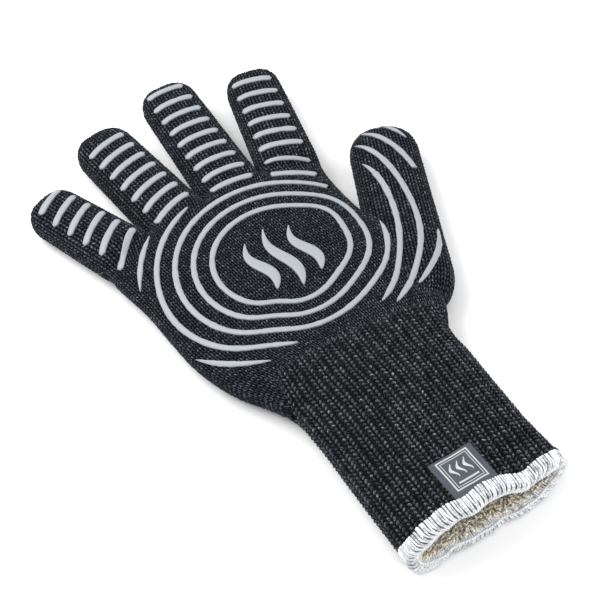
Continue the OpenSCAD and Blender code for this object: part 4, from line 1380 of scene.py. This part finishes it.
for front in (True, False):
    side = "Front" if front else "Back"
    for level in (1, 2):
        count = int(2 * math.pi * ringRadius(level) / grip["pace"])
        addStrip("palmGrip" + side, arcPath(level, 0, 360 - 360 / count, count), front, closed=True)
    for level, a0, a1 in arcs:
        path = arcPath(level, a0, a1) if front else offTheEdge(arcPath(level, a0, a1))
        for group in ("palmGrip", "thumbLowerGrip", "thumbUpperGrip"):
            at = [i for i, p in enumerate(path) if thumbGroup(p) == group]
            if len(at) > 5:
                ends = "lens" if (level, a0) == lensArc else "point"
                last = min(len(path) - 1, at[-1] + 1)
                addStrip(group + side, path[at[0]:last + 1], front, ends=ends,
                         width=grip["lensWidth" if ends == "lens" else "width"],
                         freeEnds=(at[0] == 0, last == len(path) - 1))
    for name, levels in barLevels.items():
        for level in range(levels[0], levels[1] + 1):
            path, s = barPath(name, level, grip["share"] if front else grip["backShare"])
            if path is None:
                continue
            # the cloth slopes most under one bar, which is drawn narrower
            steep = name == "index" and level == 5 and front
            width = grip["barWidth"] * (grip["steepShare"] if steep else 1)
            addStrip(barGroup(name, s) + side, path, front, width=width)
    ks = np.linspace(0, 1, emblem["points"])
    w = emblem["width"] * (0.1 + 0.9 * np.sin(math.pi * ks ** 0.8))
    for i in emblem["waves"]:
        length = emblem["length"] * (1 if i == 0 else emblem["outerLength"])
        path = [(i * emblem["spacing"] + emblem["bend"] * math.sin(2 * math.pi * k),
                 grip["centre"][1] + length * (k - 0.5)) for k in ks]
        rings = stripRings(path, np.maximum(0.1, w), front, False)
        gripSets.setdefault("palmEmblem" + side, []).append((rings, False, not front))
for name, sets in gripSets.items():
    points, faces = beadMesh(sets)
    if len(points):
        ob = meshFrom(name, points, faces)
        ob.data.materials.append(greySilicone)
        pieces[name] = ob
print("silicone printed", sorted(gripSets))

foldHeight = 0.01  # metres over the table
middleZone = 9.0  # half the length that bends round a finger's middle fold


def foldLine(name, s0, s1, turn):
    f = fingers[name]
    centre = np.array(f["root"]) + (s0 + s1) / 2 * direction(f["angle"])
    d = direction(f["angle"] - turn)
    a, b = centre - d * (s1 - s0) / 2, centre + d * (s1 - s0) / 2
    return (a[0] * mm, a[1] * mm, foldHeight), (b[0] * mm, b[1] * mm, foldHeight)


for name in handOrder + ["thumb"]:
    f = fingers[name]
    rootZone = foldLine(name, f["zone"][0], f["zone"][1], f["turn"])
    tipZone = foldLine(name, f["middleFold"] - middleZone, f["middleFold"] + middleZone, 0)
    base, tip = name + "_base", name + "_tip"
    for part, a, b, zone in (("Lower", "palm", base, rootZone), ("Upper", base, tip, tipZone)):
        for kind in ("Knit", "GripFront", "GripBack"):
            ob = pieces.get(name + part + kind)
            if ob:
                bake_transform(ob)
for name in ("palmGripFront", "palmGripBack", "palmEmblemFront", "palmEmblemBack"):
    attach(pieces[name], "palm")
for name in ("palmKnitFront", "palmKnitBack", "cuffKnit"):
    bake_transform(pieces[name])
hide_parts("palm_shell", "palm_liner")
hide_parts("palm_grip")
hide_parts("palm_back_grip")
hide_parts("palm_emblem")
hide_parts("palm_back_emblem")
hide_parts("cuff_shell")
for name in fingers:
    for part, cad in (("Lower", "base"), ("Upper", "tip")):
        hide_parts(name + "_" + cad + "_shell", name + "_" + cad + "_liner")
        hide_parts(name + "_" + cad + "_grip")
        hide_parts(name + "_" + cad + "_back_grip")

for name in ("bindingBand", "bindingWraps", "bindingEdge", "cuffLabel"):
    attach(pieces[name], "cuff")
for name in ("linerTube", "linerLoops"):
    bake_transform(pieces[name])
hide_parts("cuff_binding")
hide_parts("cuff_liner")
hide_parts("cuff_label")

table = {"half": 3, "height": -0.0002}
corners = [(x * table["half"], y * table["half"], table["height"])
           for x, y in ((-1, -1), (1, -1), (1, 1), (-1, 1))]
floorMesh = bpy.data.meshes.new("floor")
floorMesh.from_pydata(corners, [], [(0, 1, 2, 3)])
floor = addObject("floor", floorMesh)
floorMat, _, floorShader = principled("paleFloor")
floorShader.inputs["Base Color"].default_value = (1, 1, 1, 1)
floorShader.inputs["Roughness"].default_value = 0.9
floorMesh.materials.append(floorMat)

world = bpy.data.worlds.new("studio")
bpy.context.scene.world = world
world.use_nodes = True
world.node_tree.nodes["Background"].inputs[0].default_value = (1, 1, 1, 1)
world.node_tree.nodes["Background"].inputs[1].default_value = 0.95


def areaLight(name, place, size, power):
    # a lamp that faces the middle of the glove
    light = bpy.data.lights.new(name, "AREA")
    light.size = size
    light.energy = power
    ob = addObject(name, light)
    ob.location = place
    ob.rotation_euler = (-Vector(place)).to_track_quat("-Z", "Y").to_euler()


areaLight("softKey", (-0.5, 0.55, 0.9), 0.8, 11)
areaLight("softFill", (0.8, -0.5, 0.7), 0.8, 4)

target = Vector((0.0031, -0.0059, -0.0041))
place = Vector((-0.2413, -0.6427, 0.7273))
camera = bpy.data.cameras.new("camera")
camera.lens = 122.0
camera.sensor_width = 36.0
cameraObject = addObject("camera", camera)
cameraObject.location = place
turn = (target - place).to_track_quat("-Z", "Y").to_matrix()
cameraObject.rotation_euler = (turn @ Matrix.Rotation(math.radians(-9), 3, "Z")).to_euler()
bpy.context.scene.camera = cameraObject
bpy.context.scene.view_settings.view_transform = "Standard"
print("stage set")
